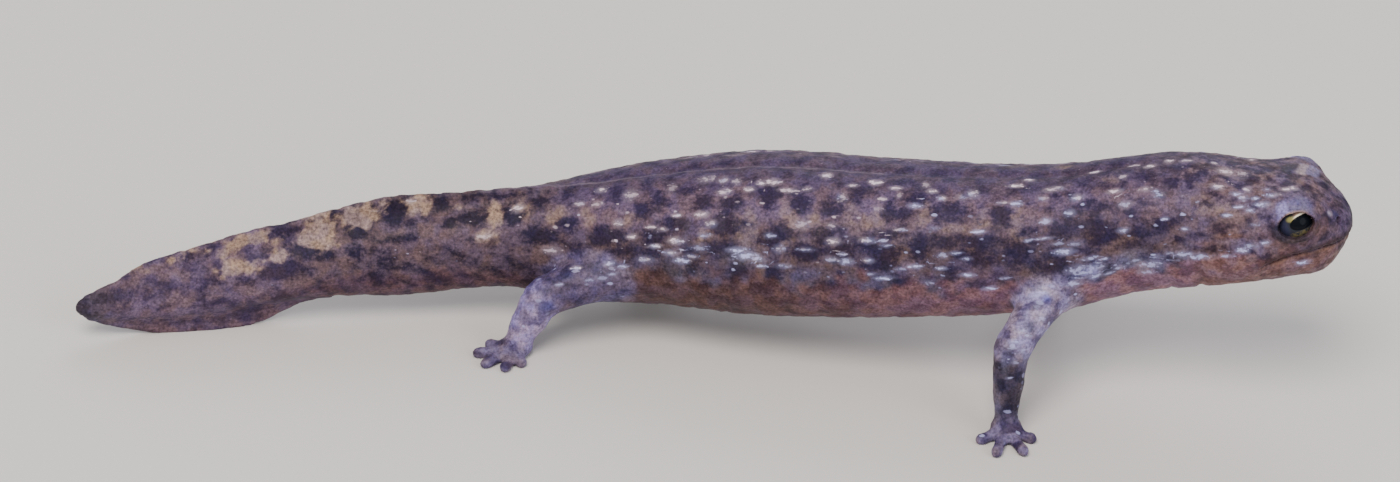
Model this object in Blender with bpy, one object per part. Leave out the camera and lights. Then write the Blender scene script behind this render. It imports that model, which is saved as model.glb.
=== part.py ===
"""A clouded salamander at life size: head, jaw, eyes, neck, torso, legs, feet, tail and tail fins."""

import math

import bmesh
import bpy
import numpy as np
from mathutils import Matrix, Vector

MM = 0.001  # the tables below are in millimetres
COLLECTION = "clouded_salamander"
CUTTERS = "cutters"
GAP = 0.3  # between pieces that meet

# Driving dimensions
BODY_LENGTH = 99.8  # straight, snout to tail tip
GULAR_FOLD = 12.3  # where head and neck meet, behind the snout
SHOULDER_CUT = 17.6
VENT = 61.6
TAIL_CUTS = (74.0, 86.2)
SNOUT_ROUND = 2.6  # length over which the snout rounds off
TAIL_ROUND = 2.4
TIP_START = 0.03  # the first section, just behind a rounded tip

# Spine: behind the snout, to the left of the middle, above the floor
SPINE = (
    (0.0, -1.2, 16.4),
    (4.2, -0.8, 16.2),
    (8.0, -0.3, 15.6),
    (12.3, 0.2, 14.95),
    (16.5, 0.5, 14.1),
    (20.5, 0.8, 12.95),
    (27.5, 1.6, 11.3),
    (35.3, 2.7, 10.1),
    (46.2, 4.3, 8.9),
    (54.8, 5.2, 7.8),
    (61.9, 5.2, 6.9),
    (67.0, 4.7, 6.6),
    (74.4, 3.5, 6.05),
    (82.2, 1.5, 5.2),
    (90.0, -1.1, 3.85),
    (99.8, -3.8, 2.85),
)

# Body outline: behind the snout, half width, height above the spine, depth below it
BODY = (
    (0.0, 3.1, 2.35, 2.15),
    (1.5, 3.5, 2.55, 3.75),
    (2.5, 3.9, 3.0, 3.95),
    (4.2, 4.5, 3.75, 4.2),
    (5.8, 5.05, 4.15, 4.3),
    (8.0, 5.45, 4.4, 4.45),
    (12.3, 5.2, 5.25, 5.05),
    (16.5, 5.1, 5.35, 5.1),
    (20.5, 5.55, 5.25, 5.3),
    (27.5, 6.2, 5.7, 5.6),
    (35.3, 6.8, 6.05, 5.7),
    (46.2, 7.1, 6.2, 5.95),
    (54.8, 6.0, 5.35, 5.2),
    (58.8, 4.9, 4.9, 4.9),
    (62.0, 3.9, 4.55, 4.45),
    (67.0, 3.1, 3.45, 3.95),
    (74.4, 2.6, 3.1, 4.15),
    (82.2, 2.0, 2.25, 3.0),
    (86.0, 1.7, 2.4, 2.55),
    (90.0, 1.4, 2.1, 2.2),
    (94.0, 1.1, 1.6, 1.65),
    (97.0, 0.85, 0.95, 1.05),
    (99.8, 0.6, 0.5, 0.6),
)
BELLY_SQUARE = 2.35  # exponent of the lower half of a section, where 2 is an ellipse
BACK_SQUARE = 2.1
BODY_SIDES = 32
HEAD_STEP = 0.7  # between sections
JAW_STEP = 0.8
TRUNK_STEPS = (0.9, 0.66, 1.3, 1.3)  # neck, torso, and the first two lengths of tail
TAIL_STEP = 1.3

# Skin furrows of the trunk
COSTAL_GROOVES = 12
COSTAL_FIRST = 24.0
COSTAL_LAST = 53.5
COSTAL_DEPTH = 0.22
COSTAL_WIDTH = 0.5
COSTAL_REACH = 0.85  # sine of the angle up or down the flank where they have faded out
BACK_GROOVE_DEPTH = 0.25
BACK_GROOVE_HALF_ANGLE = 0.12
BACK_GROOVE_SPAN = (14.0, 60.0)
BACK_GROOVE_FADE = 6.0

# Mouth line: behind the snout, below the spine
MOUTH = (
    (-1.5, -0.4),
    (0.5, -0.4),
    (2.5, -0.42),
    (4.2, -0.75),
    (5.6, -1.15),
    (7.0, -1.5),
    (8.6, -2.5),
    (10.2, -3.7),
    (11.6, -5.7),
    (12.8, -6.8),
)
MOUTH_STEP = 0.75
MOUTH_ROOM = 9.0  # how far the cut along the mouth line reaches aside and down
JAW_INSET = 0.15
JAW_RECESS = 0.4

# Eyes, lids and nostrils, placed from the spine
EYE_RADIUS = 1.5
EYE_GAP = 0.2
EYE_OUT = 0.3  # from the middle of the lids
LID_RADIUS = 2.15
EYE_BEHIND = 4.4
EYE_ASIDE = 2.85
EYE_ABOVE = 1.4
EYE_FORWARD_DEG = 8.0
EYE_UPWARD_DEG = 18.0
LID_OPENING = (1.5, 1.08)  # half length and half height
LID_FLARE = (0.82, 1.16)  # the opening's size at its inner and outer end
LID_TILT_DEG = 12.0
NOSTRIL_RADIUS = 0.32
NOSTRIL_PLACE = (1.3, 2.05, 1.25)

# Tail fins: behind the snout, height over the tail's own edge
FIN_UPPER = (
    (62.6, 0.1),
    (67.0, 0.88),
    (71.5, 1.0),
    (74.4, 1.35),
    (77.5, 1.65),
    (80.6, 1.55),
    (83.8, 1.3),
    (86.5, 1.5),
    (90.0, 1.5),
    (94.0, 1.27),
    (97.0, 0.5),
    (98.9, 0.12),
)
FIN_LOWER = (
    (80.5, 0.1),
    (83.5, 0.75),
    (86.0, 1.6),
    (90.0, 1.85),
    (94.0, 1.5),
    (97.0, 0.85),
    (98.9, 0.3),
)
FIN_ROOT_HALF = 0.5
FIN_EDGE_HALF = 0.28
FIN_SLOPE = 0.75  # share of the height at which a fin has thinned to its edge
FIN_STEP = 1.9

# Legs: each joint is behind the snout, to the left of the middle, above the floor
LEGS = {
    "fore_right": {
        "path": (
            (21.3, -0.8, 11.2),
            (23.3, -4.2, 9.9),
            (25.8, -7.6, 7.3),
            (26.1, -8.5, 4.8),
            (26.1, -9.1, 2.1),
            (26.0, -9.4, 0.9),
        ),
        "radii": (1.9, 1.65, 1.35, 1.25, 1.0, 0.8),
        "heading_deg": -84.0,
        "toes": (1.7, 2.7, 2.9, 2.0),
    },
    "fore_left": {
        "path": (
            (21.3, 2.6, 11.2),
            (22.6, 6.4, 9.9),
            (24.4, 9.4, 7.2),
            (23.4, 10.8, 4.6),
            (22.2, 11.9, 2.1),
            (21.9, 12.3, 0.9),
        ),
        "radii": (1.9, 1.65, 1.35, 1.25, 1.0, 0.8),
        "heading_deg": 62.0,
        "toes": (1.7, 2.7, 2.9, 2.0),
    },
    "hind_right": {
        "path": (
            (55.6, 3.0, 6.9),
            (59.0, 0.7, 5.9),
            (62.6, -0.7, 4.8),
            (63.8, -1.3, 3.2),
            (64.6, -1.7, 1.7),
            (64.9, -1.9, 0.9),
        ),
        "radii": (2.3, 1.9, 1.55, 1.4, 1.1, 0.85),
        "heading_deg": -134.0,
        "toes": (1.5, 2.4, 2.9, 2.7, 1.7),
    },
    "hind_left": {
        "path": (
            (55.6, 7.4, 6.9),
            (54.3, 10.3, 6.5),
            (53.2, 12.6, 5.2),
            (54.5, 13.7, 3.4),
            (55.7, 14.6, 1.7),
            (56.1, 15.0, 0.9),
        ),
        "radii": (2.3, 1.9, 1.5, 1.35, 1.05, 0.85),
        "heading_deg": 76.0,
        "toes": (1.5, 2.4, 2.9, 2.7, 1.7),
    },
}
JOINT_CUTS = (2, 4)  # the path points that are the elbow or knee, and the wrist or ankle
JOINT_CUT_SIZE = 4.4
TRUNK_ROOM = (11.6, 71.6)  # stretch of the body, behind the snout, that the legs are cut clear of
LEG_POINTS = 13
LEG_SIDES = 3  # bevel resolution, which gives ten sides
TOE_SIDES = 1
TOE_RADIUS = 0.46
TOE_SPREAD_DEG = 118.0
TOE_HEIGHT = 0.36
TOE_START = 0.55  # from the palm's middle, as a share of its half width
TOE_SHAPE = ((-0.1, 1.15), (0.45, 0.95), (0.8, 1.0), (0.95, 0.8), (1.0, 0.45))  # share of length, thickness
TOE_LEVEL = 0.6  # share of its length over which a toe comes down to the floor
PALM_SIZE = (1.35, 1.2, 0.72)
PALM_HEIGHT = 0.6

# Paint of each kind of piece: colour, roughness
PAINT = {
    "skin": ((0.115, 0.085, 0.115), 0.4),
    "belly": ((0.150, 0.085, 0.090), 0.4),
    "limb": ((0.200, 0.175, 0.260), 0.4),
    "fin": ((0.140, 0.105, 0.145), 0.45),
    "eye": ((0.020, 0.018, 0.016), 0.1),
}


def clear_scene():
    for obj in list(bpy.data.objects):
        bpy.data.objects.remove(obj)


def paint(name):
    """The material of this kind, made once."""
    if name in bpy.data.materials:
        return bpy.data.materials[name]
    colour, roughness = PAINT[name]
    material = bpy.data.materials.new(name)
    material.use_nodes = True
    shader = material.node_tree.nodes["Principled BSDF"]
    shader.inputs["Base Color"].default_value = (*colour, 1.0)
    shader.inputs["Roughness"].default_value = roughness
    shader.inputs["Metallic"].default_value = 0.0
    return material


def smooth(table, at):
    """The table's row at this distance, on a cubic through all its rows."""
    rows = np.array(table, float)
    place, value = rows[:, 0], rows[:, 1:]
    slope = np.gradient(value, place, axis=0)
    i = int(np.clip(np.searchsorted(place, at) - 1, 0, len(place) - 2))
    step = place[i + 1] - place[i]
    t = min(max((at - place[i]) / step, 0.0), 1.0)
    start = (2 * t**3 - 3 * t**2 + 1) * value[i] + (t**3 - 2 * t**2 + t) * step * slope[i]
    end = (3 * t**2 - 2 * t**3) * value[i + 1] + (t**3 - t**2) * step * slope[i + 1]
    return start + end


def spine_point(behind):
    aside, above = smooth(SPINE, behind)
    return Vector((BODY_LENGTH / 2 - behind, aside, above))


def spine_frame(behind):
    """Centre, forward, left and up at this distance behind the snout."""
    reach = 0.5
    forward = (spine_point(behind - reach) - spine_point(behind + reach)).normalized()
    left = Vector((0, 0, 1)).cross(forward).normalized()
    return spine_point(behind), forward, left, forward.cross(left)


def on_spine(behind, aside, above):
    centre, _, left, up = spine_frame(behind)
    return centre + left * aside + up * above


def dome(distance, length):
    """How far an end has swelled at this distance from its tip, from 0 to 1."""
    short = 1 - min(max(distance / length, 0.0), 1.0)
    return math.sqrt(max(1 - short * short, 0.0))


def body_sizes(behind, recess=0.0):
    """Half width, height above the spine and depth below it, rounded off at both ends."""
    ends = dome(behind - recess, SNOUT_ROUND) * dome(BODY_LENGTH - behind, TAIL_ROUND)
    return smooth(BODY, behind) * ends


def furrow(behind, angle):
    """How deep the costal grooves and the groove of the back press in at a point of the skin."""
    pitch = (COSTAL_LAST - COSTAL_FIRST) / (COSTAL_GROOVES - 1)
    nearest = round((behind - COSTAL_FIRST) / pitch)
    off = behind - COSTAL_FIRST - min(max(nearest, 0), COSTAL_GROOVES - 1) * pitch
    flank = max(0.0, 1 - (math.sin(angle) / COSTAL_REACH) ** 2)
    costal = COSTAL_DEPTH * math.exp(-((off / COSTAL_WIDTH) ** 2)) * flank
    first, last = BACK_GROOVE_SPAN
    along = dome(behind - first, BACK_GROOVE_FADE) * dome(last - behind, BACK_GROOVE_FADE)
    from_top = (angle - math.pi / 2) / BACK_GROOVE_HALF_ANGLE
    return costal + BACK_GROOVE_DEPTH * along * math.exp(-(from_top**2))


def body_ring(behind, grow=0.0, recess=0.0):
    """Points round the body at this distance, grown outwards by grow."""
    width, above, below = body_sizes(behind, recess) + grow
    ring = []
    for k in range(BODY_SIDES):
        angle = 2 * math.pi * k / BODY_SIDES
        across, rise = math.cos(angle), math.sin(angle)
        square = BACK_SQUARE if rise > 0 else BELLY_SQUARE
        press = 1 - furrow(behind, angle) / max(width, 1.0)
        aside = width * press * math.copysign(abs(across) ** (2 / square), across)
        up = (above if rise > 0 else below) * press * math.copysign(abs(rise) ** (2 / square), rise)
        ring.append(on_spine(behind, aside, up))
    return ring


def mesh_object(name, bm):
    """An object of its own from a bmesh in millimetres."""
    bmesh.ops.recalc_face_normals(bm, faces=bm.faces)
    bmesh.ops.scale(bm, vec=(MM, MM, MM), verts=bm.verts)
    mesh = bpy.data.meshes.new(name)
    bm.to_mesh(mesh)
    bm.free()
    obj = bpy.data.objects.new(name, mesh)
    bpy.data.collections[COLLECTION].objects.link(obj)
    return obj


def loft(name, rings):
    """A closed skin through rings of as many points each, its two halves split alike."""
    bm = bmesh.new()
    rows = [[bm.verts.new(p) for p in ring] for ring in rings]
    sides = len(rows[0])
    for one, two in zip(rows, rows[1:]):
        for k in range(sides):
            n = (k + 1) % sides
            if k < sides // 2:
                bm.faces.new((one[k], one[n], two[n]))
                bm.faces.new((one[k], two[n], two[k]))
            else:
                bm.faces.new((one[k], one[n], two[k]))
                bm.faces.new((one[n], two[n], two[k]))
    bm.faces.new(rows[0])
    bm.faces.new(rows[-1])
    return mesh_object(name, bm)


def stations(start, end, step):
    """Distances from start to end, evenly spaced at about this step."""
    count = max(2, round((end - start) / step) + 1)
    return [start + (end - start) * i / (count - 1) for i in range(count)]


def rounded_stations(start, end, step, round_length):
    """As stations, but crowded towards start, where an end rounds off."""
    turns = 6
    crowd = [start + round_length * (1 - math.cos(math.pi / 2 * i / turns)) for i in range(turns)]
    return crowd + stations(start + round_length, end, step)


def body_piece(name, places, grow=0.0, recess=0.0):
    return loft(name, [body_ring(place, grow, recess) for place in places])


def ball(name, centre, size, turn=None, segments=20, rings=12):
    """An ellipsoid with these half sizes along its own axes."""
    bm = bmesh.new()
    bmesh.ops.create_uvsphere(bm, u_segments=segments, v_segments=rings, radius=1.0)
    place = Matrix.Translation(centre) @ (turn or Matrix.Identity(4)) @ Matrix.Diagonal((*size, 1.0))
    bmesh.ops.transform(bm, matrix=place, verts=bm.verts)
    return mesh_object(name, bm)


def block(name, centre, size, turn=None):
    """A box with these full sizes along its own axes."""
    bm = bmesh.new()
    bmesh.ops.create_cube(bm, size=1.0)
    place = Matrix.Translation(centre) @ (turn or Matrix.Identity(4)) @ Matrix.Diagonal((*size, 1.0))
    bmesh.ops.transform(bm, matrix=place, verts=bm.verts)
    return mesh_object(name, bm)


def axes_matrix(x_axis, y_axis, z_axis):
    return Matrix((x_axis, y_axis, z_axis)).transposed().to_4x4()


def remove(obj):
    mesh = obj.data
    bpy.data.objects.remove(obj)
    bpy.data.meshes.remove(mesh)


def settle_modifiers(obj):
    """Makes the evaluated mesh the object's own."""
    graph = bpy.context.evaluated_depsgraph_get()
    made = bpy.data.meshes.new_from_object(obj.evaluated_get(graph))
    old = obj.data
    obj.modifiers.clear()
    obj.data = made
    bpy.data.meshes.remove(old)


def boolean(obj, cutter, operation):
    """Cuts obj by the cutter, which has no further use and is removed."""
    bpy.data.collections[CUTTERS].objects.link(cutter)
    bpy.data.collections[COLLECTION].objects.unlink(cutter)
    cutter.hide_render = True
    cutter.display_type = "WIRE"
    modifier = obj.modifiers.new(operation.lower(), "BOOLEAN")
    modifier.operation = operation
    modifier.solver = "EXACT"
    modifier.object = cutter
    settle_modifiers(obj)
    remove(cutter)
    return obj


def union_all(obj, others):
    """Joins the others to obj with one union over a collection, and removes them."""
    pieces = bpy.data.collections.new(obj.name + "_pieces")
    for other in others:
        pieces.objects.link(other)
    modifier = obj.modifiers.new("union", "BOOLEAN")
    modifier.operation = "UNION"
    modifier.solver = "EXACT"
    modifier.operand_type = "COLLECTION"
    modifier.collection = pieces
    settle_modifiers(obj)
    for other in others:
        remove(other)
    bpy.data.collections.remove(pieces)
    return obj


def surfaces(bm):
    """The sets of faces that hang together."""
    left, found = set(bm.faces), []
    while left:
        todo = [left.pop()]
        found.append(set(todo))
        while todo:
            for edge in todo.pop().edges:
                for face in edge.link_faces:
                    if face in left:
                        left.remove(face)
                        found[-1].add(face)
                        todo.append(face)
    return found


def split_surfaces(obj, names_near):
    """Parts obj into one object for each name, the largest surface nearest to that name's point."""
    made = []
    for name, near in names_near.items():
        bm = bmesh.new()
        bm.from_mesh(obj.data)
        groups = sorted(surfaces(bm), key=len)[-len(names_near):]
        middles = [sum((f.calc_center_median() for f in group), Vector()) / len(group) for group in groups]
        distances = [(middle - near * MM).length for middle in middles]
        keep = groups[distances.index(min(distances))]
        bmesh.ops.delete(bm, geom=[f for f in bm.faces if f not in keep], context="FACES")
        bmesh.ops.scale(bm, vec=(1 / MM, 1 / MM, 1 / MM), verts=bm.verts)
        made.append(mesh_object(name, bm))
    remove(obj)
    return made


def keep_largest(obj):
    """Drops all but the largest closed surface."""
    bm = bmesh.new()
    bm.from_mesh(obj.data)
    keep = max(surfaces(bm), key=len)
    bmesh.ops.delete(bm, geom=[f for f in bm.faces if f not in keep], context="FACES")
    bm.to_mesh(obj.data)
    bm.free()
    return obj


def tube(name, points, radii, resolution):
    """A round bar along these points, as thick at each as its radius says, with filled ends."""
    curve = bpy.data.curves.new(name, "CURVE")
    curve.dimensions = "3D"
    curve.bevel_depth = MM
    curve.bevel_resolution = resolution
    curve.use_fill_caps = True
    spline = curve.splines.new("POLY")
    spline.points.add(len(points) - 1)
    for point, place, radius in zip(spline.points, points, radii):
        point.co = (*(place * MM), 1.0)
        point.radius = radius
    guide = bpy.data.objects.new(name + "_curve", curve)
    bpy.data.collections[COLLECTION].objects.link(guide)
    graph = bpy.context.evaluated_depsgraph_get()
    mesh = bpy.data.meshes.new_from_object(guide.evaluated_get(graph))
    bm = bmesh.new()
    bm.from_mesh(mesh)
    bmesh.ops.remove_doubles(bm, verts=bm.verts, dist=0.001 * MM)
    bmesh.ops.scale(bm, vec=(1 / MM, 1 / MM, 1 / MM), verts=bm.verts)
    bpy.data.objects.remove(guide)
    bpy.data.curves.remove(curve)
    bpy.data.meshes.remove(mesh)
    return mesh_object(name, bm)


def cut_by_floor(obj):
    """Takes off what reaches below the floor, which leaves small flats at one level."""
    depth = 4.0
    floor = block("floor", Vector((0, 0, -depth / 2)), (2 * BODY_LENGTH, BODY_LENGTH, depth))
    return boolean(obj, floor, "DIFFERENCE")


def mouth_solid(name, shift):
    """All that lies below the mouth line, moved up by shift."""
    rings = []
    for place in stations(MOUTH[0][0], MOUTH[-1][0], MOUTH_STEP):
        top = float(smooth(MOUTH, place)[0]) + shift
        upper = ((MOUTH_ROOM, top), (-MOUTH_ROOM, top))
        corners = (*upper, (-MOUTH_ROOM, -MOUTH_ROOM), (MOUTH_ROOM, -MOUTH_ROOM))
        rings.append([on_spine(place, *corner) for corner in corners])
    return loft(name, rings)


def eye_axes(side):
    """The middle of the lids, the way the eye looks, and the length and height of its opening."""
    _, forward, left, up = spine_frame(EYE_BEHIND)
    centre = on_spine(EYE_BEHIND, side * EYE_ASIDE, EYE_ABOVE)
    ahead, rise = math.radians(EYE_FORWARD_DEG), math.radians(EYE_UPWARD_DEG)
    look = left * side * math.cos(ahead) + forward * math.sin(ahead)
    look = (look * math.cos(rise) + up * math.sin(rise)).normalized()
    tilt = math.radians(LID_TILT_DEG)
    flat = (forward * math.cos(tilt) + up * math.sin(tilt)).normalized()
    length = (flat - look * flat.dot(look)).normalized()
    return centre, look, length, look.cross(length)


def eye_centre(side):
    centre, look, _, _ = eye_axes(side)
    return centre + look * EYE_OUT


def lid_opening(name, side):
    """The almond that parts the lids, from the eye's middle outwards."""
    centre, look, length, height = eye_axes(side)
    depth = 2 * LID_RADIUS
    bm = bmesh.new()
    inner, outer = LID_FLARE
    bmesh.ops.create_cone(bm, cap_ends=True, segments=20, radius1=inner, radius2=outer, depth=1.0)
    size = Matrix.Diagonal((*LID_OPENING, depth, 1.0))
    turn = axes_matrix(length, height, look)
    place = Matrix.Translation(centre + look * depth / 2) @ turn @ size
    bmesh.ops.transform(bm, matrix=place, verts=bm.verts)
    return mesh_object(name, bm)


def head_and_jaw():
    """The head with raised lids, sockets and nostrils, and the jaw that the mouth line parts from it."""
    places = rounded_stations(TIP_START, GULAR_FOLD - GAP / 2, HEAD_STEP, SNOUT_ROUND)
    head = body_piece("head", places)
    sides = (1, -1)
    lids = [ball(f"lid_{s}", eye_axes(s)[0], [LID_RADIUS] * 3, segments=24, rings=14) for s in sides]
    union_all(head, lids)
    for side in sides:
        socket = [EYE_RADIUS + EYE_GAP] * 3
        boolean(head, ball("socket", eye_centre(side), socket), "DIFFERENCE")
        boolean(head, lid_opening("opening", side), "DIFFERENCE")
        behind, aside, above = NOSTRIL_PLACE
        place = on_spine(behind, side * aside, above)
        boolean(head, ball("nostril", place, [NOSTRIL_RADIUS] * 3, segments=10, rings=6), "DIFFERENCE")
    boolean(head, mouth_solid("below_mouth", GAP / 2), "DIFFERENCE")
    keep_largest(head)

    jaw_places = rounded_stations(JAW_RECESS + TIP_START, GULAR_FOLD - GAP / 2, JAW_STEP, SNOUT_ROUND)
    jaw = body_piece("lower_jaw", jaw_places, -JAW_INSET, JAW_RECESS)
    boolean(jaw, mouth_solid("jaw_room", -GAP / 2), "INTERSECT")
    keep_largest(jaw)
    for obj in (head, jaw):
        obj.data.materials.clear()
    head.data.materials.append(paint("skin"))
    jaw.data.materials.append(paint("belly"))


def eyes():
    for side, word in ((1, "left"), (-1, "right")):
        _, look, length, height = eye_axes(side)
        turn = axes_matrix(length, height, look)
        eye = ball(f"eye_{word}", eye_centre(side), [EYE_RADIUS] * 3, turn)
        eye.data.materials.append(paint("eye"))


def trunk_and_tail():
    """Neck, torso and three lengths of tail, parted by thin cuts across the spine."""
    half = GAP / 2
    cuts = (GULAR_FOLD, SHOULDER_CUT, VENT, *TAIL_CUTS)
    names = ("neck", "torso", "tail_base", "tail_middle")
    for name, start, end, step in zip(names, cuts, cuts[1:], TRUNK_STEPS):
        piece = body_piece(name, stations(start + half, end - half, step))
        piece.data.materials.append(paint("skin"))
    tip = rounded_stations(TIP_START, BODY_LENGTH - TAIL_CUTS[-1] - half, TAIL_STEP, TAIL_ROUND)
    tail_end = body_piece("tail_end", [BODY_LENGTH - place for place in reversed(tip)])
    tail_end.data.materials.append(paint("skin"))


def fin_ring(place, height, side):
    """A six-cornered section of a fin. side is 1 over the tail and -1 under it."""
    width, above, below = body_sizes(place)
    edge = above if side > 0 else below
    root_half = min(FIN_ROOT_HALF, 0.8 * width)
    square = BACK_SQUARE if side > 0 else BELLY_SQUARE
    shoulder = edge * (1 - (root_half / width) ** square) ** (1 / square) + GAP
    top = edge + GAP + height
    slope = shoulder + FIN_SLOPE * (top - shoulder)
    edge_half = min(FIN_EDGE_HALF, root_half)
    near = ((root_half, shoulder), (edge_half, slope))
    far = ((-edge_half, slope), (-root_half, shoulder))
    corners = (*near, (0.0, top), *far, (0.0, edge + GAP))
    return [on_spine(place, aside, side * up) for aside, up in corners]


def fins():
    """The low fold along the tail's upper edge, and the shorter one under its end."""
    for name, table, side in (("tail_fin_upper", FIN_UPPER, 1), ("tail_fin_lower", FIN_LOWER, -1)):
        places = stations(table[0][0], table[-1][0], FIN_STEP)
        fin = loft(name, [fin_ring(p, float(smooth(table, p)[0]), side) for p in places])
        cut_by_floor(fin)
        fin.data.materials.append(paint("fin"))


def leg_path(leg):
    """The leg's own points in place, and a smooth run of points and radii through them."""
    joints = [Vector((BODY_LENGTH / 2 - behind, aside, above)) for behind, aside, above in leg["path"]]
    rows = [(i, *joint, radius) for i, (joint, radius) in enumerate(zip(joints, leg["radii"]))]
    run = [smooth(rows, t) for t in stations(0, len(joints) - 1, (len(joints) - 1) / (LEG_POINTS - 1))]
    return joints, [Vector(row[:3]) for row in run], [float(row[3]) for row in run]


def toe(name, palm, angle, length):
    """A round-ended toe that leaves the palm at this heading and lies on the floor."""
    way = Vector((math.cos(angle), math.sin(angle), 0))
    reach = PALM_SIZE[1] * TOE_START
    points, radii = [], []
    for share, thickness in TOE_SHAPE:
        height = TOE_HEIGHT + (PALM_HEIGHT - TOE_HEIGHT) * max(0.0, TOE_LEVEL - share)
        place = palm + way * (reach + length * share)
        points.append(Vector((place.x, place.y, height)))
        radii.append(TOE_RADIUS * thickness)
    return tube(name, points, radii, TOE_SIDES)


def foot_pieces(name, leg, palm):
    """A palm and its toes, spread evenly about the foot's heading."""
    heading = math.radians(leg["heading_deg"])
    turn = Matrix.Rotation(heading, 4, "Z")
    pieces = [ball(f"{name}_palm", palm, PALM_SIZE, turn, segments=14, rings=8)]
    toes = leg["toes"]
    outward = 1 if "right" in name else -1
    for i, length in enumerate(toes):
        share = i / (len(toes) - 1) - 0.5
        angle = heading - outward * share * math.radians(TOE_SPREAD_DEG)
        pieces.append(toe(f"{name}_toe_{i}", palm, angle, length))
    return pieces


def joint_cutter(name, run, joint):
    """A thin block across the leg at a joint."""
    at = min(range(1, len(run) - 1), key=lambda i: (run[i] - joint).length)
    along = (run[at + 1] - run[at - 1]).normalized()
    turn = along.to_track_quat("Z", "Y").to_matrix().to_4x4()
    return block(name, joint, (JOINT_CUT_SIZE, JOINT_CUT_SIZE, GAP), turn)


def one_leg(name, leg):
    """A leg with its foot, cut clear of the torso and parted at its two joints."""
    joints, run, radii = leg_path(leg)
    whole = tube(name, run, radii, LEG_SIDES)
    palm = Vector((joints[-1].x, joints[-1].y, PALM_HEIGHT))
    union_all(whole, foot_pieces(name, leg, palm))
    trunk = body_piece("trunk_room", stations(TRUNK_ROOM[0], TRUNK_ROOM[1], TAIL_STEP), GAP)
    boolean(whole, trunk, "DIFFERENCE")
    cut_by_floor(whole)
    for cut in JOINT_CUTS:
        boolean(whole, joint_cutter("joint_cut", run, joints[cut]), "DIFFERENCE")
    first, second = JOINT_CUTS
    upper, lower = ("upper_arm", "forearm") if name.startswith("fore") else ("thigh", "shank")
    end, side = name.split("_")
    parts = {
        f"{upper}_{side}": joints[0].lerp(joints[first], 0.7),
        f"{lower}_{side}": joints[first].lerp(joints[second], 0.5),
        f"{end}_foot_{side}": joints[-1],
    }
    for part in split_surfaces(whole, parts):
        part.data.materials.clear()
        part.data.materials.append(paint("limb"))


def stand_on_origin():
    """Hangs all pieces on an empty, so that the origin is on the floor under the middle of their box."""
    parts = list(bpy.data.collections[COLLECTION].objects)
    corners = [vertex.co for obj in parts for vertex in obj.data.vertices]
    low = Vector([min(c[i] for c in corners) for i in range(3)])
    high = Vector([max(c[i] for c in corners) for i in range(3)])
    carrier = bpy.data.objects.new("salamander", None)
    bpy.data.collections[COLLECTION].objects.link(carrier)
    carrier.location = (-(low.x + high.x) / 2, -(low.y + high.y) / 2, 0)
    for obj in parts:
        obj.parent = carrier
        shade(obj)


def shade(obj):
    obj.data.shade_smooth()
    obj.data.set_sharp_from_angle(angle=math.radians(50))


def main():
    clear_scene()
    for name in (COLLECTION, CUTTERS):
        collection = bpy.data.collections.new(name)
        bpy.context.scene.collection.children.link(collection)
    head_and_jaw()
    eyes()
    trunk_and_tail()
    fins()
    for name, leg in LEGS.items():
        one_leg(name, leg)
    stand_on_origin()


main()
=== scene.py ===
"""The look of the clouded salamander: one moist, mottled skin and two eyes, on a pale studio floor."""

import math

import bmesh
import bpy
import numpy as np
from mathutils import Matrix, Vector


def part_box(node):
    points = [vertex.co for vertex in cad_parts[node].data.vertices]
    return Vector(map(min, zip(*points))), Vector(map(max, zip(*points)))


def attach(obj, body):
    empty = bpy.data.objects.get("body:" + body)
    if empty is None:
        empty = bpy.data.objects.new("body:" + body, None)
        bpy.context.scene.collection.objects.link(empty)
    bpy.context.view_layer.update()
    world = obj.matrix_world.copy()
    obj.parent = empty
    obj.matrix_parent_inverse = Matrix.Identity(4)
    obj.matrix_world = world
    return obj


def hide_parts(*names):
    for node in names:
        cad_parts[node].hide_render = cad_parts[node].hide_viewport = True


MM = 0.001  # the tables and the skin are worked out in millimetres

# Shape of the animal, with the same values as its CAD source. Places along it are measured back from
# the snout, and heights and sides from its spine.
BODY_LENGTH = 99.8
GULAR_FOLD = 12.3
VENT = 61.6
SNOUT_ROUND = 2.6
TAIL_ROUND = 2.4

# Behind the snout, to the left of the middle and above the floor
SPINE = (
    (0.0, -1.2, 16.4), (4.2, -0.8, 16.2), (8.0, -0.3, 15.6), (12.3, 0.2, 14.95), (16.5, 0.5, 14.1),
    (20.5, 0.8, 12.95), (27.5, 1.6, 11.3), (35.3, 2.7, 10.1), (46.2, 4.3, 8.9), (54.8, 5.2, 7.8),
    (61.9, 5.2, 6.9), (67.0, 4.7, 6.6), (74.4, 3.5, 6.05), (82.2, 1.5, 5.2), (90.0, -1.1, 3.85),
    (99.8, -3.8, 2.85),
)

# Behind the snout, then half width, height over the spine and depth under it
BODY = (
    (0.0, 3.1, 2.35, 2.15), (1.5, 3.5, 2.55, 3.75), (2.5, 3.9, 3.0, 3.95), (4.2, 4.5, 3.75, 4.2),
    (5.8, 5.05, 4.15, 4.3), (8.0, 5.45, 4.4, 4.45), (12.3, 5.2, 5.25, 5.05), (16.5, 5.1, 5.35, 5.1),
    (20.5, 5.55, 5.25, 5.3), (27.5, 6.2, 5.7, 5.6), (35.3, 6.8, 6.05, 5.7), (46.2, 7.1, 6.2, 5.95),
    (54.8, 6.0, 5.35, 5.2), (58.8, 4.9, 4.9, 4.9), (62.0, 3.9, 4.55, 4.45), (67.0, 3.1, 3.45, 3.95),
    (74.4, 2.6, 3.1, 4.15), (82.2, 2.0, 2.25, 3.0), (86.0, 1.7, 2.4, 2.55), (90.0, 1.4, 2.1, 2.2),
    (94.0, 1.1, 1.6, 1.65), (97.0, 0.85, 0.95, 1.05), (99.8, 0.6, 0.5, 0.6),
)
BELLY_SQUARE = 2.35
BACK_SQUARE = 2.1
COSTAL_GROOVES = 12
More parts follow.
